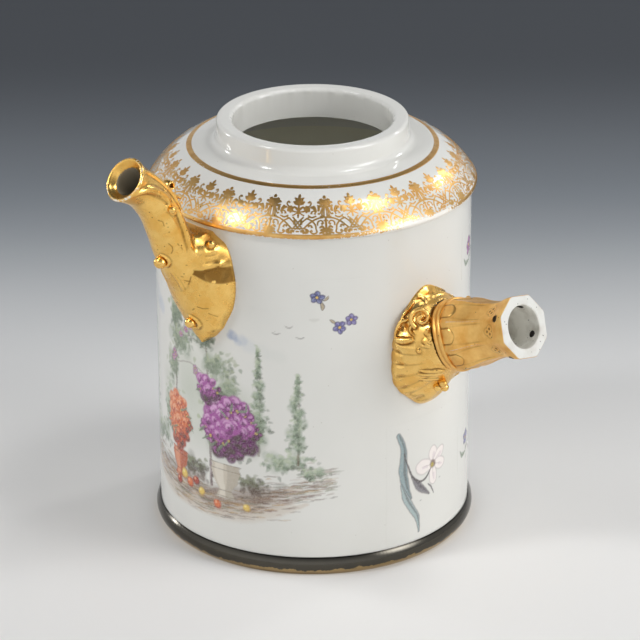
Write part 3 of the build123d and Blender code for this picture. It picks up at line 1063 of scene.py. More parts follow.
collar_profile = [(9.75, 10.2), (10.6, 10.2), (11.05, 10.5), (11.25, 10.95), (11.2, 11.4)]
collar_profile += [(10.95, 11.7), (10.9, 11.9), (11.1, 12.15), (11.4, 12.6), (11.55, 13.2)]
collar_profile += [(11.5, 13.75), (11.25, 14.1), (9.75, 14.2)]
collar = turned("gilt_collar_ring", [(radius * mm, up * mm) for radius, up in collar_profile], 160)
for vertex in collar.data.vertices:
    around = math.atan2(vertex.co.y, vertex.co.x)
    vertex.co.z += saddle(around, 0) * mm
collar.data.transform(socket_frame)
mark_ridges(collar)
for ridge in collar.data.attributes["ridge"].data:
    ridge.value = min(ridge.value, 0.3)
collar.data.materials.append(socket_gilding)
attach(collar, "root")
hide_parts("socket_collar")

# ---- Rocaille shell ----
# The shell that the socket grows from, pressed in a mould with its volute, lobes and flutes, and
# luted to the wall. Places on it are a turn round its outline, from the top by way of the left,
# and a share of the way from the collar ring out to the edge.

shell_outline = [  # across and up from the socket's root, in millimetres
    (0.0, 17.6),
    (-4.1, 17.4),
    (-11.4, 11.4),
    (-14.6, 5.6),
    (-15.5, -2.5),
    (-14.6, -11.8),
    (-9.2, -18.1),
    (-3.0, -21.6),
    (3.1, -18.9),
    (9.6, -15.8),
    (13.4, -8.5),
    (14.3, 1.0),
    (12.2, 8.6),
    (6.9, 13.4),
]
shell_edge = 51.1  # radius of the shell's edge from the pot's axis
ring_lift = 3.84  # how far the tilt carries the ring above the root
ring_radius, ring_distance = 10.7, 9.9  # the skirt's top, under the collar ring
foot_radius, foot_distance = 14.6, 2.2  # what the skirt's hollow is drawn towards


def shell_skin(turn, share):
    """The shell's bare skirt, from the collar ring down to its edge on the wall."""
    place = (turn % 1) * len(shell_outline)
    first = int(place)
    rows = [shell_outline[(first + step) % len(shell_outline)] for step in (-1, 0, 1, 2)]
    across, up = between(rows, 1 + place - first)
    edge = Vector((across, -math.sqrt(shell_edge**2 - across**2), root_up + up)) * mm
    around = math.atan2(up - ring_lift, across)
    outward = Vector((math.cos(around), math.sin(around), 0))
    ring = outward * ring_radius + Vector((0, 0, ring_distance + saddle(around, 0)))
    ring = socket_frame @ (ring * mm)
    foot = socket_frame @ ((outward * foot_radius + Vector((0, 0, foot_distance))) * mm)
    hollow = foot * 0.62 + (ring + edge) * 0.19
    rest = 1 - share
    return ring * rest * rest + hollow * 2 * rest * share + edge * share * share


def on_shell(turn, share, out=0.0):
    """A point out from the shell's skirt, in millimetres along the skirt's own normal."""
    around = shell_skin(turn + 0.004, share) - shell_skin(turn - 0.004, share)
    outward = shell_skin(turn, share + 0.02) - shell_skin(turn, share - 0.02)
    normal = around.cross(outward).normalized()
    if normal.y > 0:
        normal.negate()
    return shell_skin(turn, share) + normal * out * mm


shell_lobes = [  # height, turn and half width round the outline, share outwards and half length
    (-0.5, 0.262, 0.007, 0.86, 0.12),
    (-0.5, 0.300, 0.007, 0.80, 0.12),
    (-0.5, 0.335, 0.007, 0.86, 0.12),
    (-0.5, 0.380, 0.007, 0.88, 0.12),
    (-1.3, 0.172, 0.026, 0.78, 0.26),
    (0.9, 0.03, 0.045, 0.72, 0.3),
    (1.0, 0.475, 0.05, 0.68, 0.3),
    (-0.5, 0.447, 0.012, 0.86, 0.12),
]


def shell_flutes(turn, share):
    """Soft flutes down both sides of the shell, its lobes and dimples, and a rounded edge."""
    left = turn if turn < 0.5 else 1 - turn
    fluted = swell(left, 0.232, 0.245) * (1 - swell(left, 0.40, 0.425))
    flute = abs(math.sin(math.pi * (left - 0.228) / 0.0365)) ** 0.8
    out = 0.3 * fluted * flute * swell(share, 0.12, 0.5)
    for height, middle, wide, along, long in shell_lobes:
        out += height * hump(left, middle, wide) * hump(share, along, long)
    return out - 0.9 * share**14


def shell_face(across, along):
    """The shell's face, with its flutes and lobes."""
    share = min(max(along, 0.001), 0.999)
    return on_shell(across, share, shell_flutes(across, share))


def volute(middle, radius, turns, thick, facing, start):
    """A rolled scroll on a boss, wound inwards round its middle, in the plane that faces a way."""
    to_plane = facing.to_track_quat("Z", "Y").to_matrix()
    points, radii = [], []
    steps = int(24 * turns)
    for step in range(steps + 1):
        share = step / steps
        angle = start - math.tau * turns * share
        reach = radius * (1 - 0.86 * share)
        lift = 0.3 * radius * share
        wound = Vector((reach * math.cos(angle), reach * math.sin(angle), lift))
        points.append(middle + to_plane @ wound * mm)
        radii.append(thick * (1 - 0.35 * share) * mm)
    return [roll(points, radii), ball(points[-1], thick * 0.95 * mm)]


plate = sheet(200, 50, shell_face)
shell_forms = [backed(plate, luted_back)]
ribs = [  # (turn, share) places along each, and its radius in millimetres
    (((0.228, 0.97), (0.224, 0.80), (0.219, 0.60), (0.210, 0.40)), 1.15),
    (((0.221, 0.97), (0.197, 0.97), (0.166, 0.93), (0.150, 0.74), (0.137, 0.60)), 0.6),
    (((0.150, 0.35), (0.160, 0.48), (0.180, 0.50), (0.196, 0.36)), 0.45),
    (((0.205, 0.16), (0.222, 0.06), (0.214, 0.20), (0.236, 0.10), (0.232, 0.26)), 0.4),
    (((0.094, 0.97), (0.080, 0.72), (0.074, 0.48), (0.078, 0.34)), 0.5),
    (((0.105, 0.99), (0.135, 0.99), (0.160, 0.99)), 0.55),
    (((0.322, 0.46), (0.345, 0.28), (0.366, 0.14), (0.392, 0.08)), 0.75),
    (((0.340, 0.50), (0.362, 0.34), (0.384, 0.22), (0.404, 0.16)), 0.6),
    (((0.362, 0.56), (0.386, 0.42), (0.410, 0.34), (0.436, 0.32)), 0.5),
]
for side in (1, -1):
    facing = Vector((-0.62 * side, -0.72, 0.32))
    eye = on_shell(0.130 * side, 0.22, 1.0)
    shell_forms.append(ball(on_shell(0.130 * side, 0.22, -2.2), 3.0 * mm))
    shell_forms += volute(eye, 3.45, 1.4, 0.85, facing, math.radians(-120 if side > 0 else 240))
    small_eye = on_shell(0.172 * side, 0.08, 0.3)
    shell_forms += volute(small_eye, 1.05, 1.1, 0.42, facing, math.radians(-60))
    for path, radius in ribs:
        path = [(side * turn, share) for turn, share in path]
        shell_forms.append(tapered(path, lambda *place: on_shell(*place, 0.2 * radius), radius * mm, 0.14))
    shell_forms.append(ball(on_shell(0.250 * side, 0.32, 0.2), 0.75 * mm))
shell = moulded("gilt_rocaille_shell", shell_forms, 0.25 * mm)
pick(shell)
bpy.ops.mesh.separate(type="LOOSE")
grains = sorted(bpy.context.selected_objects, key=lambda grain: len(grain.data.polygons))
shell = grains.pop()  # the others are bubbles, smaller than the clay's grain
bpy.data.batch_remove(grains)
shell.name = shell.data.name = "gilt_rocaille_shell"
mark_ridges(shell)
shell.data.materials.append(
    burnished_gilding("burnished_shell_gilding", "#f9cf7e", "#e9b660", "#e6ddce", 1.1, 1.3)
)
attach(shell, "root")
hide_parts("handle_shell", "shell_volute")

# ---- Beads on the shell ----
# A cluster of three beads of clay under the collar, burnished bright.

cluster = []
for turn, share, radius in ((0.457, 0.47, 1.3), (0.462, 0.34, 1.35), (0.508, 0.48, 1.35)):
    cluster.append(ball(on_shell(turn, share, 0.9), radius * mm))
shell_beads = moulded("gilt_shell_beads", cluster, 0.14 * mm)
mark_ridges(shell_beads)
shell_beads.data.materials.append(bead_gilding)
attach(shell_beads, "root")
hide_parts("shell_beads")

# ---- Gilt lace border ----
# Pen gilding on the slope: eighteen pairs of a fleuron and a palmette over interlaced straps and
# scrolled leaves. Each stroke is a film of gold, thickest along its middle, rubbed in places.

border_pairs = 18
pair_turn = math.tau / border_pairs
border_start = math.radians(224.3 - 5.4)  # the middle of the first fleuron, round from +X
gold_film = 0.05  # height of a stroke's middle, as a share of half its width
gold_lift = 0.014 * mm  # how far the film's own middle is lifted off the glaze
pen_share, pen_spread = 0.56, 0.06  # half a stroke is this share of its width, and wet gold spreads
lace_strokes = [  # (share of half a pair, distance down the slope, width) along each stroke, in mm
    ((0, 2.9, 0.3), (0, 3.7, 0.8), (0, 4.6, 0.6)),
    ((0, 4.3, 1.0), (0, 5.6, 2.3), (0, 6.9, 0.9)),
    ((0, 5.2, 0.6), (0.10, 4.8, 0.8), (0.19, 4.2, 0.2)),
    ((0, 6.6, 0.6), (0.12, 6.2, 1.0), (0.23, 5.6, 0.2)),
    ((0, 6.9, 0.4), (0, 9.0, 0.5), (0, 11.2, 0.3)),
    ((0, 9.0, 0.3), (0.09, 8.0, 0.6), (0.18, 7.4, 0.3)),
    ((0, 9.2, 0.3), (0.18, 9.1, 0.4), (0.30, 8.6, 0.6)),
    ((0, 9.3, 0.3), (0.12, 10.0, 0.3), (0.22, 10.5, 0.25)),
    ((0.26, 7.2, 0.4), (0.34, 8.0, 1.2), (0.40, 9.2, 0.4)),
    ((0.2, 8.2, 0.2), (0.38, 7.4, 0.3), (0.47, 6.4, 0.35), (0.42, 5.6, 0.3), (0.36, 6.2, 0.55)),
    ((1, 3.4, 0.3), (1, 3.9, 0.9), (1, 4.6, 0.7)),
    ((1, 4.8, 1.0), (1, 5.8, 2.0), (1, 6.6, 1.3), (1, 7.5, 0.9)),
    ((1, 5.9, 0.8), (0.88, 5.3, 1.1), (0.83, 4.6, 0.7)),
    ((1, 6.5, 0.6), (0.86, 6.3, 0.9), (0.75, 5.8, 0.6), (0.72, 6.3, 0.3)),
    ((0.9, 7.1, 0.5), (0.80, 7.3, 0.7), (0.70, 6.9, 0.3)),
    ((0.98, 7.1, 0.4), (0.955, 8.7, 0.25), (0.94, 10.4, 0.35)),
    ((0.95, 7.1, 0.5), (0.90, 8.7, 0.3), (0.86, 10.3, 0.35)),
    ((0.92, 7.4, 0.4), (0.85, 8.8, 0.3), (0.78, 9.9, 0.3), (0.72, 9.6, 0.5)),
    ((0.56, 7.0, 0.3), (0.60, 8.1, 0.9), (0.66, 9.4, 0.4)),
    ((0.47, 9.9, 0.5), (0.52, 9.0, 0.3), (0.62, 9.2, 0.25), (0.60, 10.0, 0.5)),
    ((0.44, 10.7, 0.3), (0.22, 12.0, 0.32), (0.02, 14.0, 0.32), (-0.10, 14.9, 0.3)),
    ((0.20, 10.9, 0.3), (0.05, 12.2, 0.3), (-0.14, 14.3, 0.3)),
    ((0, 14.6, 0.3), (0.28, 14.5, 0.35)),
    ((0.22, 14.5, 0.3), (0.42, 12.8, 0.35), (0.68, 11.4, 0.38), (1, 10.9, 0.4)),
    ((0.28, 11.2, 0.3), (0.48, 12.0, 0.35), (0.62, 13.4, 0.35), (0.64, 14.7, 0.3)),
    ((0.36, 13.9, 0.5), (0.46, 13.5, 0.3), (0.50, 14.3, 0.5)),
    ((0.70, 13.6, 0.3), (0.71, 12.5, 0.3), (0.82, 12.0, 0.3), (0.90, 12.7, 0.35), (0.83, 13.2, 0.6)),
    ((0.76, 14.3, 0.3), (0.86, 13.9, 0.6), (0.92, 14.4, 0.3)),
    ((1, 11.2, 0.4), (1, 12.8, 0.5), (1, 14.4, 0.4)),
    ((0.92, 11.9, 0.3), (1, 12.2, 0.5)),
    ((1, 14.2, 1.2), (1, 15.3, 2.2), (1, 16.2, 1.3)),
    ((0.96, 15.1, 0.9), (0.86, 14.9, 0.7), (0.78, 15.2, 0.3)),
    ((0.94, 15.9, 0.8), (0.82, 15.8, 0.5), (0.74, 16.1, 0.3)),
    ((0.64, 14.7, 0.3), (0.67, 15.7, 0.35), (0.55, 16.1, 0.35), (0.44, 15.5, 0.3), (0.52, 15.1, 0.6)),
    ((0.28, 14.6, 0.4), (0.34, 15.4, 0.9), (0.26, 16.1, 0.3)),
    ((0, 15.3, 0.3), (0.05, 15.6, 0.4)),
    ((0.16, 7.4, 0.3), (0.28, 8.6, 0.8), (0.30, 9.6, 0.3)),
    ((0.46, 8.0, 0.5), (0.50, 7.6, 0.7), (0.53, 8.2, 0.3)),
    ((0.74, 7.4, 0.4), (0.76, 8.4, 0.7), (0.72, 9.0, 0.3)),
    ((0.36, 10.3, 0.3), (0.50, 11.0, 0.4), (0.66, 10.5, 0.3)),
    ((0.12, 11.6, 0.3), (0.12, 12.8, 0.6), (0.12, 13.4, 0.3)),
    ((0.80, 10.9, 0.5), (0.88, 10.5, 0.4), (0.97, 10.4, 0.5)),
    ((0.10, 15.5, 0.5), (0.20, 15.3, 0.7), (0.22, 16.2, 0.4)),
    ((0.86, 16.3, 0.3), (1, 16.5, 0.5)),
]
slope_steps = np.array(slope)
slope_lengths = np.concatenate(([0], np.cumsum(np.hypot(*np.diff(slope_steps, axis=0).T)))) / mm


def on_slope(turn, down, out):
    """A point out from the shoulder's slope, at a turn round it and a distance down from the crease."""
    low, high = down - 0.2, down + 0.2
    ends = [[np.interp(d, slope_lengths, slope_steps[:, axis]) for axis in (0, 1)] for d in (low, high)]
    run = Vector((ends[1][0] - ends[0][0], ends[1][1] - ends[0][1])).normalized()
    radius = (ends[0][0] + ends[1][0]) / 2 - run.y * out
    height = (ends[0][1] + ends[1][1]) / 2 + run.x * out
    return Vector((radius * math.cos(turn), radius * math.sin(turn), height))


half_pair = 8.0  # millimetres, where the strokes are drawn flat
pen_strokes = []
for stroke in lace_strokes:
    sides = (1,) if all(share in (0, 1) for share, down, width in stroke) else (1, -1)
    for side in sides:
        pen = []
        for step in range(4 * (len(stroke) - 1) + 1):
            share, down, width = between(stroke, step / 4)
            pen.append(((side * share * half_pair * mm, down * mm, 0), pen_share * width + pen_spread))
        pen_strokes.append(pen)
lace = rolls(pen_strokes, "POLY", rounds=0)
lace_repeat = [tuple(vertex.co) for vertex in lace.data.vertices]
bpy.ops.object.duplicate()
pairs = [lace]
for pair in range(1, border_pairs):
    pairs.append(bpy.context.object)
    bpy.ops.object.duplicate()
bpy.ops.object.delete()
for pair, piece in enumerate(pairs):
    for vertex, (along, down, out) in zip(piece.data.vertices, lace_repeat):
        turn = border_start + pair_turn * (pair + along / mm / half_pair / 2)
        vertex.co = on_slope(turn, down / mm, gold_lift + out * gold_film)
pick(*pairs)
bpy.ops.object.join()
lace = finished("gilt_lace_border", angle=60)
lace_gilding = burnished_gilding(
    "rubbed_pen_gilding", "#eec37c", "#d6a25c", "#ece8e0", 0.36, 0.40, dull=0.10
)
lace.data.materials.append(lace_gilding)
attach(lace, "root")

# ---- Gilt lines ----
# Banded on the wheel with a full brush: one line along the crease and one over the shoulder's
# edge, where handling has frayed it. The film is 0.04 mm thick.

film = 0.04 * mm


def banded(name, points):
    """A film of gold laid over points of a turned profile, which run outwards and down."""
    outer, inner = [], []
    for step, point in enumerate(points):
        before, after = points[max(step - 1, 0)], points[min(step + 1, len(points) - 1)]
        run = Vector((after[0] - before[0], after[1] - before[1])).normalized()
        thick = film if 0 < step < len(points) - 1 else film / 4
        outer.append((point[0] - run.y * thick, point[1] + run.x * thick))
        inner.append((point[0] + run.y * film, point[1] - run.x * film))
    return turned(name, inner + outer[::-1])


def keep_wear(piece, wear):
    """Keeps on each vertex how far it is rubbed, as wear(turn, height) tells."""
    attribute = piece.data.attributes.new("ridge", "FLOAT", "POINT")
    places = [vertex.co for vertex in piece.data.vertices]
    worn = [wear(math.atan2(place.y, place.x) % math.tau, place.z) for place in places]
    attribute.data.foreach_set("value", worn)


def rubbed_right(turn, height):
    """Wear of the border: most below, on the side that the right hand steadies."""
    low = 1 - swell(height, edge_top[1], edge_top[1] + 3 * mm)
    hand = hump(turn, math.radians(262), math.radians(13)) + 0.4 * hump(turn, math.radians(60), 0.8)
    return 0.10 * low * (0.3 + hand + 0.2 * math.sin(7 * turn)) + 0.03 * math.sin(3 * turn + 1)


def frayed_edge(turn, height):
    """Wear of the edge line: its lower border frayed all round, and long stretches of it gone."""
    low = 1 - swell(height, edge_top[1] - 1.2 * mm, edge_top[1] - 0.1 * mm)
    hand = hump(turn, math.radians(266), math.radians(21)) + 0.5 * hump(turn, math.radians(80), 0.5)
    return 0.16 * low + 0.26 * hand + 0.03 * math.sin(11 * turn)


keep_wear(lace, rubbed_right)
flat_edge = arc((neck_radius + neck_fillet, shoulder_top), crease, 0.12 * mm, steps=6)
crease_line = banded("gilt_crease_line", [flat_edge[-2]] + slope[:2])
keep_wear(crease_line, lambda turn, height: 0.05 * math.sin(5 * turn))
crease_line.data.materials.append(lace_gilding)
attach(crease_line, "root")

edge_line = banded(
    "gilt_edge_line",
    slope[-2:-1] + arc(edge_top, (edge_radius - edge_round, wall_top - edge_drip), 0.25 * mm, steps=6),
)
keep_wear(edge_line, frayed_edge)
edge_line.data.materials.append(lace_gilding)
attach(edge_line, "root")

# ---- Enamel painting ----
# Muffle colours painted over the glaze with a fine brush and fired again: a garden terrace under
# the spout, a tied posy on the far side and small flowers strewn between. They lie 0.03 mm proud.

paint_radius = body_radius + 0.03 * mm
paint_back = body_radius - 0.12 * mm
sepia, umber, olive = "#6f5444", "#4a3a33", "#7d8266"
grey_green, dark_green, pale_green = "#8d9c86", "#55634f", "#b3bda2"
puce, dark_puce, pale_puce = "#a2509a", "#5d2256", "#d9a8d2"
coral, red, peach = "#d9733f", "#a93a26", "#efb48c"
violet, dark_violet, pale_violet = "#5d5a9a", "#2e2b52", "#9a97c8"
yellow, ochre = "#e3c25c", "#b58f52"
hand = random.Random(1745)


def canvas(left, right, low, high, cell):
    """Bare wall to paint on, in millimetres round from under the spout and up from the table."""
    columns, rows = round((right - left) / cell), round((high - low) / cell)
    across, up = np.meshgrid(np.linspace(left, right, columns + 1), np.linspace(low, high, rows + 1))
    tremble = 0.08 * np.sin(1.3 * up + 0.9 * across) + 0.04 * np.sin(2.9 * across - 1.7 * up)
    return {
        "corner": (left, low),
        "cell": cell,
        "across": across + tremble,
        "up": up + 0.07 * np.sin(1.7 * across + 0.8 * up),
        "pigment": np.zeros(across.shape + (4,)),
    }


def brush(ground, stroke, colour, strength=0.85, soft=0.25):
    """A stroke through (across, up, width) places: its pigment thins out over a soft edge."""
    cell = ground["cell"]
    gaps = np.hypot(*np.diff(np.array(stroke)[:, :2], axis=0).T)
    thin = max(min(width for across, up, width in stroke), 2 * cell)
    fine = int(min(max(4, 3.0 * gaps.max() / thin), 40))
    steps = fine * (len(stroke) - 1)
    drawn = np.array([between(stroke, step / fine) for step in range(steps + 1)])
    reach = drawn[:, 2].max() * 0.75 + cell
    window = []
    for axis, corner in reversed(list(enumerate(ground["corner"]))):
        first = int((drawn[:, axis].min() - reach - corner) / cell)
        last = int((drawn[:, axis].max() + reach - corner) / cell) + 2
        window.append(slice(max(first, 0), max(last, 0)))
    window = tuple(window)
    across, up = ground["across"][window], ground["up"][window]
    if across.size == 0:
        return
    inside = np.full(across.shape, -1e3)
    for place in drawn:
        half = max(place[2] / 2, 0.02)
        edge = max(soft * half, 0.6 * cell)
        inside = np.maximum(inside, (half - np.hypot(across - place[0], up - place[1])) / edge + 0.5)
    cover = strength * np.clip(inside, 0, 1)[..., None]
    part = ground["pigment"][window]
    under = part[..., 3:] * (1 - cover)
    tint = np.array(linear(colour)[:3])
    part[..., :3] = (tint * cover + part[..., :3] * under) / np.maximum(cover + under, 1e-6)
    part[..., 3:] = cover + under


def dab(ground, place, width, colour, strength=0.85, soft=0.25):
    """A round touch of the brush at an (across, up) place."""
    brush(ground, [(*place, width)] * 2, colour, strength, soft)


def away_from(middle, reach, way, width):
    """The place at a reach and an angle from a middle, with a stroke's width there."""
    return (middle[0] + reach * math.cos(way), middle[1] + reach * math.sin(way), width)


def foliage(ground, middle, spread, count, size, colours, droop=-0.5):
    """Touches of leafage thrown about a middle, lit from the upper left, over a wash of the same."""
    dark, body, light = colours
    for wash in range(8):
        across, up = (middle[axis] + hand.gauss(0, 0.36) * spread[axis] for axis in (0, 1))
        full = min(spread) * hand.uniform(0.5, 1.0)
        blot = [(across, up + 0.2 * full, full), (across, up - 0.2 * full, full)]
        brush(ground, blot, body, 0.34, 0.9)
    for touch in range(count):
        across, up = (middle[axis] + hand.gauss(0, 0.42) * spread[axis] for axis in (0, 1))
        lit = (up - middle[1]) / spread[1] - 0.6 * (across - middle[0]) / spread[0] + hand.gauss(0, 0.45)
        colour = dark if lit < -0.35 else body if lit < 0.4 else light
        turn = math.radians(-90 if up < middle[1] else 20) + hand.gauss(0, 0.9) + droop
        long = size * hand.uniform(0.4, 0.85)
        tip = away_from((across, up), long, turn, 0.25 * size)
        brush(ground, [(across, up, 0.75 * size), tip], colour, hand.uniform(0.3, 0.7), 0.5)


def redrawn(stroke, share=1.0, more=0.0, right=0.0, below=0.0):
    """A stroke's path again, a share of its width and more, moved aside by shares of its width."""
    return [
        (across + right * width, up - below * width, share * width + more)
        for across, up, width in stroke
    ]


def blade(ground, stroke, colour, dark):
    """A leaf: its body, a shaded edge and a dark midrib."""
    brush(ground, stroke, colour, 0.8)
    brush(ground, redrawn(stroke, 0.35, right=0.22, below=0.15), dark, 0.45, 0.6)
    brush(ground, redrawn(stroke, 0.0, 0.18), dark, 0.8)


def blossom(ground, middle, radius, colours, turn=0.0):
    """A simple flower: petals of a light, a middle and a dark colour round a yellow heart."""
    light, body, dark = colours
    for petal in range(5):
        way = turn + math.tau * petal / 5 + hand.gauss(0, 0.08)
        long = radius * hand.uniform(0.9, 1.08)
        out_across, out_up = math.cos(way), math.sin(way)

        def spot(share, width, aside=0.0):
            across = middle[0] + long * (share * out_across - aside * out_up)
            return (across, middle[1] + long * (share * out_up + aside * out_across), width * radius)

        brush(ground, [spot(0.2, 0.4), spot(0.6, 0.98), spot(0.95, 0.5)], dark, 0.85)
        brush(ground, [spot(0.2, 0.25), spot(0.58, 0.72), spot(0.85, 0.4)], body, 0.9, 0.5)
        brush(ground, [spot(0.5, 0.2, -0.16), spot(0.8, 0.3, -0.12)], light, 0.55, 0.7)
        brush(ground, [spot(0.15, 0.12), spot(0.6, 0.08)], dark, 0.6)
    dab(ground, middle, 0.62 * radius, dark, 0.8, 0.4)
    dab(ground, middle, 0.42 * radius, yellow, 0.95, 0.4)


def rose(ground, middle, radius, colours):
    """A full flower seen from the side: a ball of petals in overlapping crescents."""
    light, body, dark = colours
    dab(ground, middle, 2 * radius, body, 0.9, 0.3)
    for ring in range(9):
        start, share = hand.uniform(0, math.tau), 0.95 - 0.1 * ring
        crescent = [
            away_from(middle, share * radius * 0.8, start + 0.5 * step, width * radius)
            for step, width in enumerate((0.16, 0.34, 0.30, 0.12))
        ]
        lit = math.sin(start + 0.75) - 0.5 * math.cos(start + 0.75) > 0
        brush(ground, crescent, light if lit else dark, 0.65, 0.5)
    dab(ground, middle, 0.3 * radius, dark, 0.7, 0.6)


def painted_porcelain(name, light, dark):
    """The glazed wall under enamel colours, which are fired into the glaze and as glossy as it.

    The pigment lies in grains of 0.35 mm, so a wash is never quite even.
    """
    material = glazed_porcelain(name, light, dark)
    shader = material.node_tree.nodes["Principled BSDF"]
    glaze = shader.inputs["Base Color"].links[0].from_socket
    enamel = add_node(material, "Attribute", attribute_name="enamel")
    place = add_node(material, "TexCoord").outputs["Object"]
    grains = ramp(material, noise(material, place, 0.35 * mm, 2.0), 0.3, 0.7, 0.8, 1.08, smooth=False)
    grained = {0: enamel.outputs["Alpha"], 1: grains}
    cover = add_node(material, "Math", grained, operation="MULTIPLY", use_clamp=True)
    painted = mixed(material, cover.outputs["Value"], glaze, enamel.outputs["Color"])
    fill(material, shader, {"Base Color": painted, "Roughness": 0.08})
    return material


def fired(ground, radius=paint_radius):
    """Turns a painting into a film of enamel wrapped on the wall, its colours kept on its vertices."""
    rows, columns = (count - 1 for count in ground["up"].shape)
    (left, low), cell, pigment = ground["corner"], ground["cell"], ground["pigment"]
    start = math.pi + left * mm / body_radius

    def wrapped(across, along):
        turn = start + cell * columns * across * mm / body_radius
        height = (low + cell * rows * along) * mm
        return Vector((radius * math.cos(turn), radius * math.sin(turn), height))

    film_sheet = backed(sheet(columns, rows, wrapped), paint_back)
    counts = [np.arange(count + 1) for count in (rows, columns)]
    inset = np.minimum.outer(*(np.minimum(count, count[::-1]) for count in counts))
    pigment[..., 3] *= np.clip(inset / 5, 0, 1)
    bpy.ops.object.mode_set(mode="EDIT")
    bpy.ops.mesh.select_all(action="DESELECT")
    bpy.ops.object.mode_set(mode="OBJECT")
    mesh = film_sheet.data
    for face in mesh.polygons:
        face.select = face.center.xy.length < (paint_back + body_radius) / 2
    bpy.ops.object.mode_set(mode="EDIT")
    bpy.ops.mesh.dissolve_limited(angle_limit=math.radians(0.05))
    bpy.ops.object.mode_set(mode="OBJECT")
    colours = np.zeros((len(mesh.vertices), 4), np.float32)
    for vertex, colour in zip(mesh.vertices, colours):
        turn = (math.atan2(vertex.co.y, vertex.co.x) - start + 0.1) % math.tau - 0.1
        column = round(turn * body_radius / mm / cell)
        row = round((vertex.co.z / mm - low) / cell)
        colour[:] = pigment[min(max(row, 0), rows), min(max(column, 0), columns)]
    attribute = mesh.color_attributes.new("enamel", "FLOAT_COLOR", "POINT")
    attribute.data.foreach_set("color", colours.ravel())
    return film_sheet


def joined(name, pieces, material):
    """Pieces of one painting as one object."""
    pick(*pieces)
    if len(pieces) > 1:
        bpy.ops.object.join()
    piece = finished(name)
    piece.data.materials.append(material)
    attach(piece, "root")


enamelled = painted_porcelain("enamel_colours_on_porcelain", "#e1e0db", "#d8d7d1")

garden = canvas(-46, 48.4, 14, 89.6, 0.34)
for across, up, full, colour, strength in (
    (17.5, 77.2, 4.6, "#c6cbd0", 0.35),
    (22.5, 75.8, 5.0, "#cdd0cc", 0.3),
    (27.5, 74.8, 4.0, "#d0d2cc", 0.3),
    (15.6, 78.6, 3.2, "#b0bac9", 0.4),
    (14.2, 77.6, 2.4, "#a6b2c6", 0.35),
    (12.6, 79.5, 2.7, "#8d9cbb", 0.5),
    (11.4, 79.0, 2.0, "#8092b6", 0.5),
    (11.9, 80.6, 1.5, "#94a3c0", 0.45),
    (13.5, 78.3, 1.6, "#8b9bbb", 0.35),
    (-30.0, 80.0, 7.0, "#b4bccb", 0.3),
    (-25.0, 78.0, 5.0, "#9fadca", 0.35),
):
    puff = [(across, up, full), (across + 0.2 * full, up - 0.1 * full, 0.9 * full)]
    brush(garden, puff, colour, strength, 0.8)
for height, colour in ((25, "#b59c86"), (22, "#a48c78"), (19.5, "#c3b09c")):
    left, right = (-36 + 1.2 * (25 - height), height, 2), (43 - height / 3, height + 5, 1)
    wash = [left, (-10, height - 3, 5), (16, height - 1, 5), right]
    brush(garden, wash, colour, 0.4, 0.9)
for touch in range(760):
    across = hand.uniform(-38, 45)
    middle = 23.5 - 3.5 * math.cos(across / 14) + max(across - 18, 0) * 0.22
    up = middle + hand.gauss(0, 2.6)
    long = hand.uniform(0.8, 3.2)
    rise = 0.12 * long if across > 0 else -0.1 * long
    stroke = [(across - long, up - rise, 0.25), (across, up + 0.15, 0.5), (across + long, up + rise, 0.2)]
    colour = hand.choice((sepia, umber, ochre, olive, "#8a6a5c", "#a98d77", "#77665e"))
    brush(garden, stroke, colour, hand.uniform(0.25, 0.6), 0.5)
greens = (dark_green, grey_green, pale_green)
for middle, spread, count, size in (
    ((30, 38.5), (9, 4), 150, 1.5),
    ((38, 35), (5, 2.5), 60, 1.2),
    ((-28, 34), (9, 5), 150, 1.6),
    ((-19, 46), (4, 12), 120, 1.5),
):
    foliage(garden, middle, spread, count, size, greens)
for across, foot, top in ((33.5, 38, 66), (21.0, 40, 74), (-33.5, 34, 72)):
    trunk = [(across, foot, 0.9), (across + 0.6, (foot + top) / 2, 0.6), (across, top, 0.25)]
    brush(garden, trunk, sepia, 0.55)
    for step in range(9):
        share = step / 8
        middle = (across + hand.gauss(0, 0.4), foot + 6 + (top - foot - 5) * share)
        foliage(garden, middle, (3.6 * (1.15 - share), 2.4), 26, 1.25, greens, droop=0.4)
for across, lean in ((-13.5, 0.6), (3.5, -2.0)):
    post = [(across, 26, 1.1), (across + lean * 0.4, 58, 1.0), (across + lean, 90, 0.8)]
    brush(garden, post, "#8a7678", 0.85)
    brush(garden, [(x + 0.35, y, 0.35) for x, y, width in post], umber, 0.6)
for up in (63, 72, 81):
    brush(garden, [(-13.2, up, 0.45), (-5, up + 2.2, 0.45), (2.2, up, 0.45)], "#8a7678", 0.7)
for middle, spread, count in (
    ((-13, 80), (5, 6), 110),
    ((-10, 72), (6, 5), 110),
    ((1, 78), (6, 6), 130),
    ((6, 68), (7, 4.5), 120),
    ((11, 60), (4, 6), 90),
    ((-15, 62), (4, 6), 80),
):
    foliage(garden, middle, spread, count, 1.7, (dark_green, "#7d8c74", "#a6ae90"))
for step in range(16):
    place = (hand.uniform(-16, 11), hand.uniform(60, 88))
    blossom(garden, place, hand.uniform(0.9, 1.3), (pale_puce, "#c587b4", dark_puce), turn=step)
puces, corals = (pale_puce, puce, dark_puce), (peach, coral, red)
violets, yellows = (pale_violet, violet, dark_violet), ("#f6e6a0", yellow, ochre)


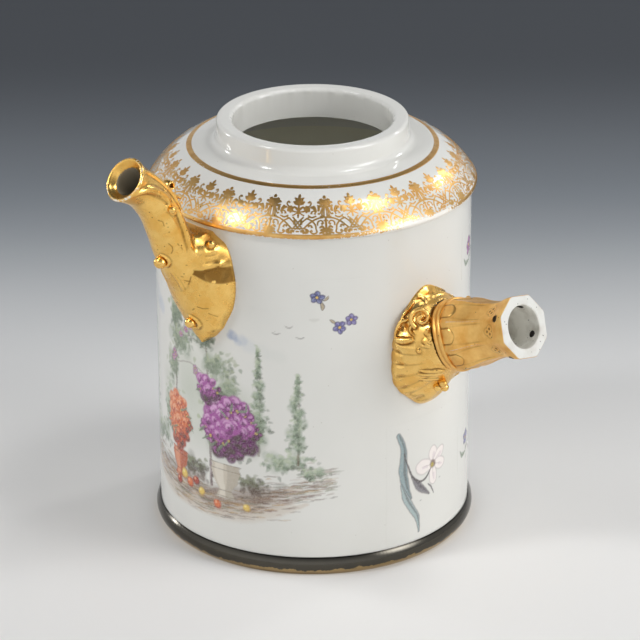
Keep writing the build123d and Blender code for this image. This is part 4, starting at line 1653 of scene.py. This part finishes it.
def pot(ground, middle, foot, size, light, body, dark):
    """A garden pot on a low foot, lit from the left."""
    shape = ((0, 0.62), (0.08, 0.5), (0.22, 0.34), (0.5, 0.8), (0.8, 1.0), (0.93, 0.86), (1.0, 1.06))
    heights, widths = zip(*shape)
    shades = ((0, 1, body, 0.8), (0.28, 0.4, dark, 0.28), (-0.22, 0.28, light, 0.4))
    for row in np.arange(0, 1, 0.35 / size):
        full = size * float(np.interp(row, heights, widths))
        up = foot + row * size
        for aside, share, colour, strength in shades:
            ends = [(middle + aside * full + side * 0.45 * share * full, up, 0.8) for side in (-1, 1)]
            brush(ground, ends, colour, strength, 0.6)
    for row, full in ((0.99, 1.02), (0.82, 0.95), (0.2, 0.4), (0.02, 0.66)):
        ends = [(middle + side * 0.5 * full * size, foot + row * size, 0.3) for side in (-1, 1)]
        brush(ground, ends, dark, 0.75)


def flowering(ground, middle, spread, count, size, colours):
    """A bush in full flower: leafage first, then flowers from the back to the front."""
    foliage(ground, middle, spread, 4 * count, 0.8 * size, (dark_green, "#76866a", "#a3ad88"))
    light, body, dark = colours
    for step in range(count):
        turn, reach = 2.4 * step, 0.92 * math.sqrt((count - step) / count)
        across = middle[0] + reach * spread[0] * math.cos(turn)
        place = (across, middle[1] + reach * spread[1] * math.sin(turn))
        radius = size * hand.uniform(0.7, 1.15)
        lit = math.sin(turn) * reach - 0.5 * math.cos(turn) * reach
        shade = (light, body, dark) if lit > -0.3 else (body, dark, umber)
        (rose if step % 4 else blossom)(ground, place, radius, shade)
        if step % 4 == 0:
            way, long = turn + hand.uniform(-0.8, 0.8), radius * hand.uniform(1.2, 1.8)
            tip = away_from(place, long, way, 0.2)
            bend = ((place[0] + tip[0]) / 2, (place[1] + tip[1]) / 2, hand.uniform(0.7, 1.1))
            blade(ground, [(*place, 0.3), bend, tip], hand.choice((grey_green, "#7d8c74")), dark_green)
    rose(ground, middle, 1.2 * size, colours)


for across, up, full in ((-8, 62, 12), (-3, 50, 14), (6, 62, 12), (15, 52, 9), (-18, 50, 8)):
    brush(garden, [(across, up + 5, full), (across + 1, up - 5, full)], "#a9b39f", 0.3, 1.2)
foliage(garden, (-4, 30), (8, 4), 110, 1.7, (umber, "#5b5a48", olive))
foliage(garden, (18, 29), (7, 3.5), 80, 1.6, (umber, "#5b5a48", olive))
for across, up, width in ((-12, 26, 12), (8, 24, 16), (20, 27, 9)):
    shadow = [(across - width, up, 2), (across, up, 4), (across + width, up + 1, 2)]
    brush(garden, shadow, "#6b5446", 0.45, 1.3)
pot(garden, 9.0, 23.0, 11.5, "#efe9dd", "#c9bfae", "#857a6e")
flowering(garden, (10.5, 47.5), (10.5, 11.5), 44, 2.5, puces)
flowering(garden, (2.5, 58.5), (4.5, 5), 12, 1.8, puces)
pot(garden, -12.0, 24.0, 9.0, peach, "#c66a45", "#7c3220")
flowering(garden, (-12.5, 43), (6.5, 10), 30, 2.0, corals)
for across, up, radius, colours in (
    (-9.5, 25.5, 1.7, yellows),
    (-6.6, 23.6, 1.6, corals),
    (-3.6, 25.2, 1.5, (peach, red, "#6d2018")),
    (-1.0, 22.2, 1.4, yellows),
    (5.6, 20.0, 1.5, corals),
    (-12.6, 22.4, 1.5, (peach, red, "#6d2018")),
    (16.5, 21.2, 1.3, yellows),
):
    light, body, dark = colours
    dab(garden, (across + 0.2, up - 0.2), 2.1 * radius, dark, 0.8)
    dab(garden, (across, up), 1.7 * radius, body, 0.95, 0.5)
    dab(garden, (across - 0.4, up + 0.4), 0.6 * radius, light, 0.8, 0.8)
for across, up in ((27, 82), (31, 84.5), (34.5, 81)):
    bird = [(across - 1.3, up + 0.5, 0.2), (across, up, 0.45), (across + 1.3, up + 0.6, 0.2)]
    brush(garden, bird, umber, 0.6)
joined("enamel_garden_terrace", [fired(garden)], enamelled)

sprigs = []
violet_sprig = canvas(36, 54, 80, 100, 0.2)
brush(violet_sprig, [(41.0, 93.6, 0.4), (42.2, 93.8, 0.4)], dark_violet, 0.8)
for leaf in (
    [(41.0, 93.2, 0.4), (41.4, 91.9, 1.5), (41.3, 90.5, 0.5)],
    [(42.0, 93.6, 0.3), (42.7, 94.2, 1.0), (43.2, 95.0, 0.3)],
    [(45.6, 85.8, 0.3), (44.6, 86.6, 1.1), (43.8, 87.1, 0.4)],
):
    brush(violet_sprig, leaf, "#5b5044", 0.85)
    brush(violet_sprig, redrawn(leaf, 0.6), "#b9a98c", 0.85)
brush(violet_sprig, [(47.6, 85.4, 1.2), (49.0, 86.0, 1.1)], "#8d86ac", 0.8)
blossom(violet_sprig, (39.8, 94.6), 1.95, ("#8f97bd", "#5c6092", "#33304f"), turn=1.4)
blossom(violet_sprig, (46.7, 84.5), 1.95, ("#9a98c2", "#6a65a0", "#3a3358"), turn=0.9)
blossom(violet_sprig, (50.3, 86.7), 1.8, ("#a49cc6", "#756ba4", "#443a60"), turn=0.3)
brush(violet_sprig, [(37.6, 87.4, 0.5), (38.9, 87.1, 1.0), (40.2, 87.4, 0.5)], "#a9a89c", 0.25, 1.5)
sprigs.append(fired(violet_sprig, paint_radius + 0.02 * mm))  # it lies over the garden's corner

white_flower = canvas(62, 92, 6.5, 48, 0.22)
slate = "#4c4648"
long_leaf = [(66.4, 44.3, 1.2), (68.0, 40.6, 1.8), (68.4, 36.8, 2.2), (68.2, 31.9, 3.0)]
long_leaf += [(69.1, 26.8, 2.4), (71.4, 21.4, 0.4)]
low_leaf = [(67.6, 26.8, 0.5), (69.2, 22.2, 2.0), (71.6, 17.9, 2.2), (74.0, 13.8, 1.5), (74.7, 8.8, 0.3)]
for stroke, body in (
    (long_leaf, "#8fa3a6"),
    (low_leaf, "#a3b5b6"),
    ([(71.8, 28.6, 0.4), (74.7, 24.5, 2.3), (79.2, 20.5, 0.3)], "#7d7a80"),
):
    brush(white_flower, redrawn(stroke, more=0.5), slate, 0.7)
    brush(white_flower, stroke, body, 0.9)
    brush(white_flower, redrawn(stroke, 0.35, right=0.2), slate, 0.55, 0.9)
flower_stem = [(68.6, 37.5, 0.5), (69.9, 33.4, 0.6), (71.9, 28.9, 0.8)]
flower_stem += [(75.3, 26.0, 0.8), (78.2, 27.0, 0.8), (80.2, 29.4, 0.6)]
for stem in (flower_stem, [(78.7, 24.2, 0.3), (80.2, 22.6, 0.6), (81.4, 19.9, 0.3)]):
    brush(white_flower, stem, slate, 0.85)
flower_heart = (80.9, 30.4)
for way, long, width in ((88, 5.3, 3.4), (40, 6.2, 3.0), (-14, 5.2, 3.6), (-88, 6.4, 3.2), (176, 6.3, 4.6)):
    petal = [
        away_from(flower_heart, share * long, math.radians(way), full * width)
        for share, full in ((0.15, 0.3), (0.5, 0.95), (0.8, 1.0), (1.0, 0.45))
    ]
    brush(white_flower, redrawn(petal, more=0.45), "#a08f92", 0.6)
    brush(white_flower, petal, "#f0e8e4", 0.97)
    root, middle, full = petal[:3]
    fold = [(middle[0] + 0.5, middle[1] - 0.4, 0.9), (full[0] + 0.5, full[1] - 0.5, 0.6)]
    brush(white_flower, fold, "#cdbcc4", 0.5, 1.0)
    brush(white_flower, [(*root[:2], 0.3), (*full[:2], 0.15)], "#8d7a80", 0.5)
dab(white_flower, flower_heart, 2.8, "#6e5240", 0.85, 0.5)
dab(white_flower, (80.6, 30.1), 1.5, "#b3a24c", 0.9, 0.6)
for across, up in ((84.4, 24.3), (75.2, 19.3)):
    brush(white_flower, [(across, up, 0.5), (across + 0.5, up + 0.1, 0.3)], "#8d8a88", 0.5)
sprigs.append(fired(white_flower))
joined("enamel_front_flowers", sprigs, enamelled)

sprigs = []  # on the far side: a tied posy opposite the spout, and small flowers round it
posy = canvas(130, 186, 24, 100, 0.36)
posy_heart = (158, 64)
posy_tie = (158, 44)
for stem in range(-4, 5):
    foot = (posy_heart[0] - 1.6 * stem, 30 + abs(stem) * 0.8, 0.5)
    brush(posy, [foot, (*posy_tie, 0.6), (posy_heart[0] + 3.1 * stem, 60, 0.5)], "#66735a", 0.8)
for turn in range(15):
    way = math.radians(-40 + 260 * turn / 14)
    reach = hand.uniform(15, 21)
    start = away_from(posy_heart, 6, way, 0.5)
    middle = away_from(posy_heart, 0.75 * reach, way, 3.4)
    tip = away_from(posy_heart, reach, way + 0.1, 0.3)
    blade(posy, [start, middle, tip], hand.choice((grey_green, "#7f9480", "#9aa384")), dark_green)
foliage(posy, (158, 62), (16, 14), 160, 2.0, greens)
for across, up, radius, colours, full in (
    (158, 66, 6.4, puces, True),
    (149, 60, 4.6, corals, True),
    (167.5, 61, 4.8, yellows, True),
    (153, 75.5, 4.4, violets, False),
    (164.5, 74.5, 4.2, ("#f6ece9", "#e2d3d6", "#a1868e"), False),
    (144.5, 69, 3.2, yellows, False),
    (171.5, 70, 3.0, puces, False),
    (158.5, 54.5, 3.6, ("#c7d2ea", "#8fa3cf", "#4d5f96"), False),
    (158, 83.5, 2.6, corals, False),
    (148, 81.5, 2.0, puces, False),
    (169, 81, 2.0, violets, False),
):
    (rose if full else blossom)(posy, (across, up), radius, colours)
brush(posy, [(154.5, 44.5, 1.6), (158, 43.6, 2.0), (161.5, 44.5, 1.6)], puce, 0.9)
for side in (-1, 1):
    loop = [(158, 44, 0.8), (158 + 6 * side, 47.5, 1.8), (158 + 8 * side, 43.5, 1.4), (158, 43.5, 0.6)]
    brush(posy, loop, puce, 0.85)
    brush(posy, [(158, 43.5, 0.8), (158 + 3 * side, 37, 1.6), (158 + 6 * side, 31, 0.5)], dark_puce, 0.8)
sprigs.append(fired(posy))

for across, up, radius, colours in (
    (106, 96, 2.8, puces),
    (104.5, 30, 2.4, violets),
    (112, 62, 2.2, corals),
    (207, 88, 2.6, yellows),
    (212, 46, 2.8, puces),
    (236, 68, 2.5, violets),
    (254, 34, 2.3, corals),
    (250, 96, 2.4, puces),
):
    strewn = canvas(across - 8, across + 8, up - 9, up + 7, 0.25)
    stem = [(across + 1, up - 8, 0.3), (across + 0.5, up - 4, 0.45), (across, up, 0.4)]
    brush(strewn, stem, dark_green, 0.8)
    for side in (-1, 1):
        tip = (across + 6 * side, up - 2.6, 0.2)
        small_leaf = [(across + 0.6, up - 5, 0.3), (across + 3.6 * side, up - 4 + side, 1.7), tip]
        blade(strewn, small_leaf, grey_green, dark_green)
    blossom(strewn, (across, up), radius, colours, turn=across)
    sprigs.append(fired(strewn))
joined("enamel_back_flowers", sprigs, enamelled)

# ---- Floor, lights and camera ----
# A sweep of paper whose colour paints the light's falloff: pale round the pot and slate grey far
# behind it, between softboxes to its right and its left, one over it, and small ones low at its left and
# behind it.

camera_place = Vector((-741.6, -723.7, 517.1)) * mm
camera_turn = math.radians(-45.815)
camera_tip = math.radians(66.45)
camera_roll = -0.004
camera_lens = 198.6  # on a sensor 36 wide


def seen_from_camera(right, away, up):
    """A point given to the right of, away from and above the pot, as the camera looks at it."""
    return Matrix.Rotation(camera_turn, 3, "Z") @ Vector((right, away, up))


def paper_with_painted_falloff(name, near, middle, far):
    """Matt background paper, its colour painted from pale round the pot to slate half a metre behind it, as
    painted light falloff.
    """
    material, shader, place = new_material(name)
    depth = {0: place, 1: seen_from_camera(0, 1, 0)}
    away = add_node(material, "VectorMath", depth, operation="DOT_PRODUCT").outputs["Value"]
    nearer = mixed(material, ramp(material, away, 20 * mm, 300 * mm), near, middle)
    paper = mixed(material, ramp(material, away, 165 * mm, 450 * mm), nearer, far)
    fill(material, shader, {"Base Color": paper, "Roughness": 0.9, "Specular IOR Level": 0.1})
    return material


pick()
bpy.ops.mesh.primitive_plane_add(size=6)
floor = finished("paper_sweep")
paper = paper_with_painted_falloff("background_paper_with_painted_falloff", "#ecebe9", "#8f959b", "#505358")
floor.data.materials.append(paper)
floor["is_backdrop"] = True

pot_middle = Vector((0, 0, 70)) * mm
softboxes = {  # place to the right, away and up, width, height, power
    "key_softbox": ((0.98, -0.45, 0.62), 0.8, 0.9, 8.8),
    "left_softbox": ((-0.95, -0.42, 1.15), 0.44, 0.44, 7.5),
    "low_softbox": ((-1.08, 0.52, 0.26), 0.24, 0.28, 3.0),
    "rear_softbox": ((0.8, 0.64, 0.7), 0.2, 0.2, 2.0),
    "overhead_softbox": ((0.5, -0.12, 1.16), 0.42, 0.42, 3.6),
}
for name, (place, width, height, power) in softboxes.items():
    light = bpy.data.lights.new(name, "AREA")
    light.shape = "RECTANGLE"
    light.size, light.size_y, light.energy = width, height, power
    light.use_nodes = True
    on_cloth = add_node(light, "NewGeometry").outputs["Parametric"]
    off_lamp = add_node(light, "VectorMath", {0: on_cloth, 1: (0.5, 0.5, 0)}, operation="DISTANCE")
    glow = ramp(light, off_lamp.outputs["Value"], 0.0, 0.52, 2.6, 0.05)  # strongest before the lamp
    fill(light, light.node_tree.nodes["Emission"], {"Strength": glow})
    lamp = bpy.data.objects.new(name, light)
    bpy.context.scene.collection.objects.link(lamp)
    lamp.location = seen_from_camera(*place)
    aim = pot_middle - lamp.location
    lamp.rotation_euler = aim.to_track_quat("-Z", "Y").to_euler()

# The studio: pale walls round the table, and a dark ceiling that upward faces mirror.
world = bpy.data.worlds.new("studio_walls")
world.use_nodes = True
way = add_node(world, "TexCoord").outputs["Generated"]
climb = add_node(world, "SeparateXYZ", {"Vector": way}).outputs["Z"]
walls = mixed(world, ramp(world, climb, 0.25, 0.85), "#c9cacb", "#585b60")
before_pot = {0: way, 1: seen_from_camera(-0.34, -0.94, 0)}  # the wall there is the brightest
front = add_node(world, "VectorMath", before_pot, operation="DOT_PRODUCT").outputs["Value"]
bright = ramp(world, front, -0.2, 1.0, 1.0, 1.72)
fill(world, world.node_tree.nodes["Background"], {"Color": walls, "Strength": bright})
bpy.context.scene.world = world

camera = bpy.data.objects.new("camera", bpy.data.cameras.new("camera"))
bpy.context.scene.collection.objects.link(camera)
camera.data.lens = camera_lens
camera.data.sensor_width = 36
camera.data.clip_start = 0.05
camera.matrix_world = (
    Matrix.Translation(camera_place)
    @ Matrix.Rotation(camera_turn, 4, "Z")
    @ Matrix.Rotation(camera_tip, 4, "X")
    @ Matrix.Rotation(camera_roll, 4, "Z")
)
bpy.context.scene.camera = camera
bpy.context.scene.view_settings.view_transform = "Standard"

size = {"cad": [list(corner) for corner in cad_box], "visual": [list(corner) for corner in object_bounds()]}
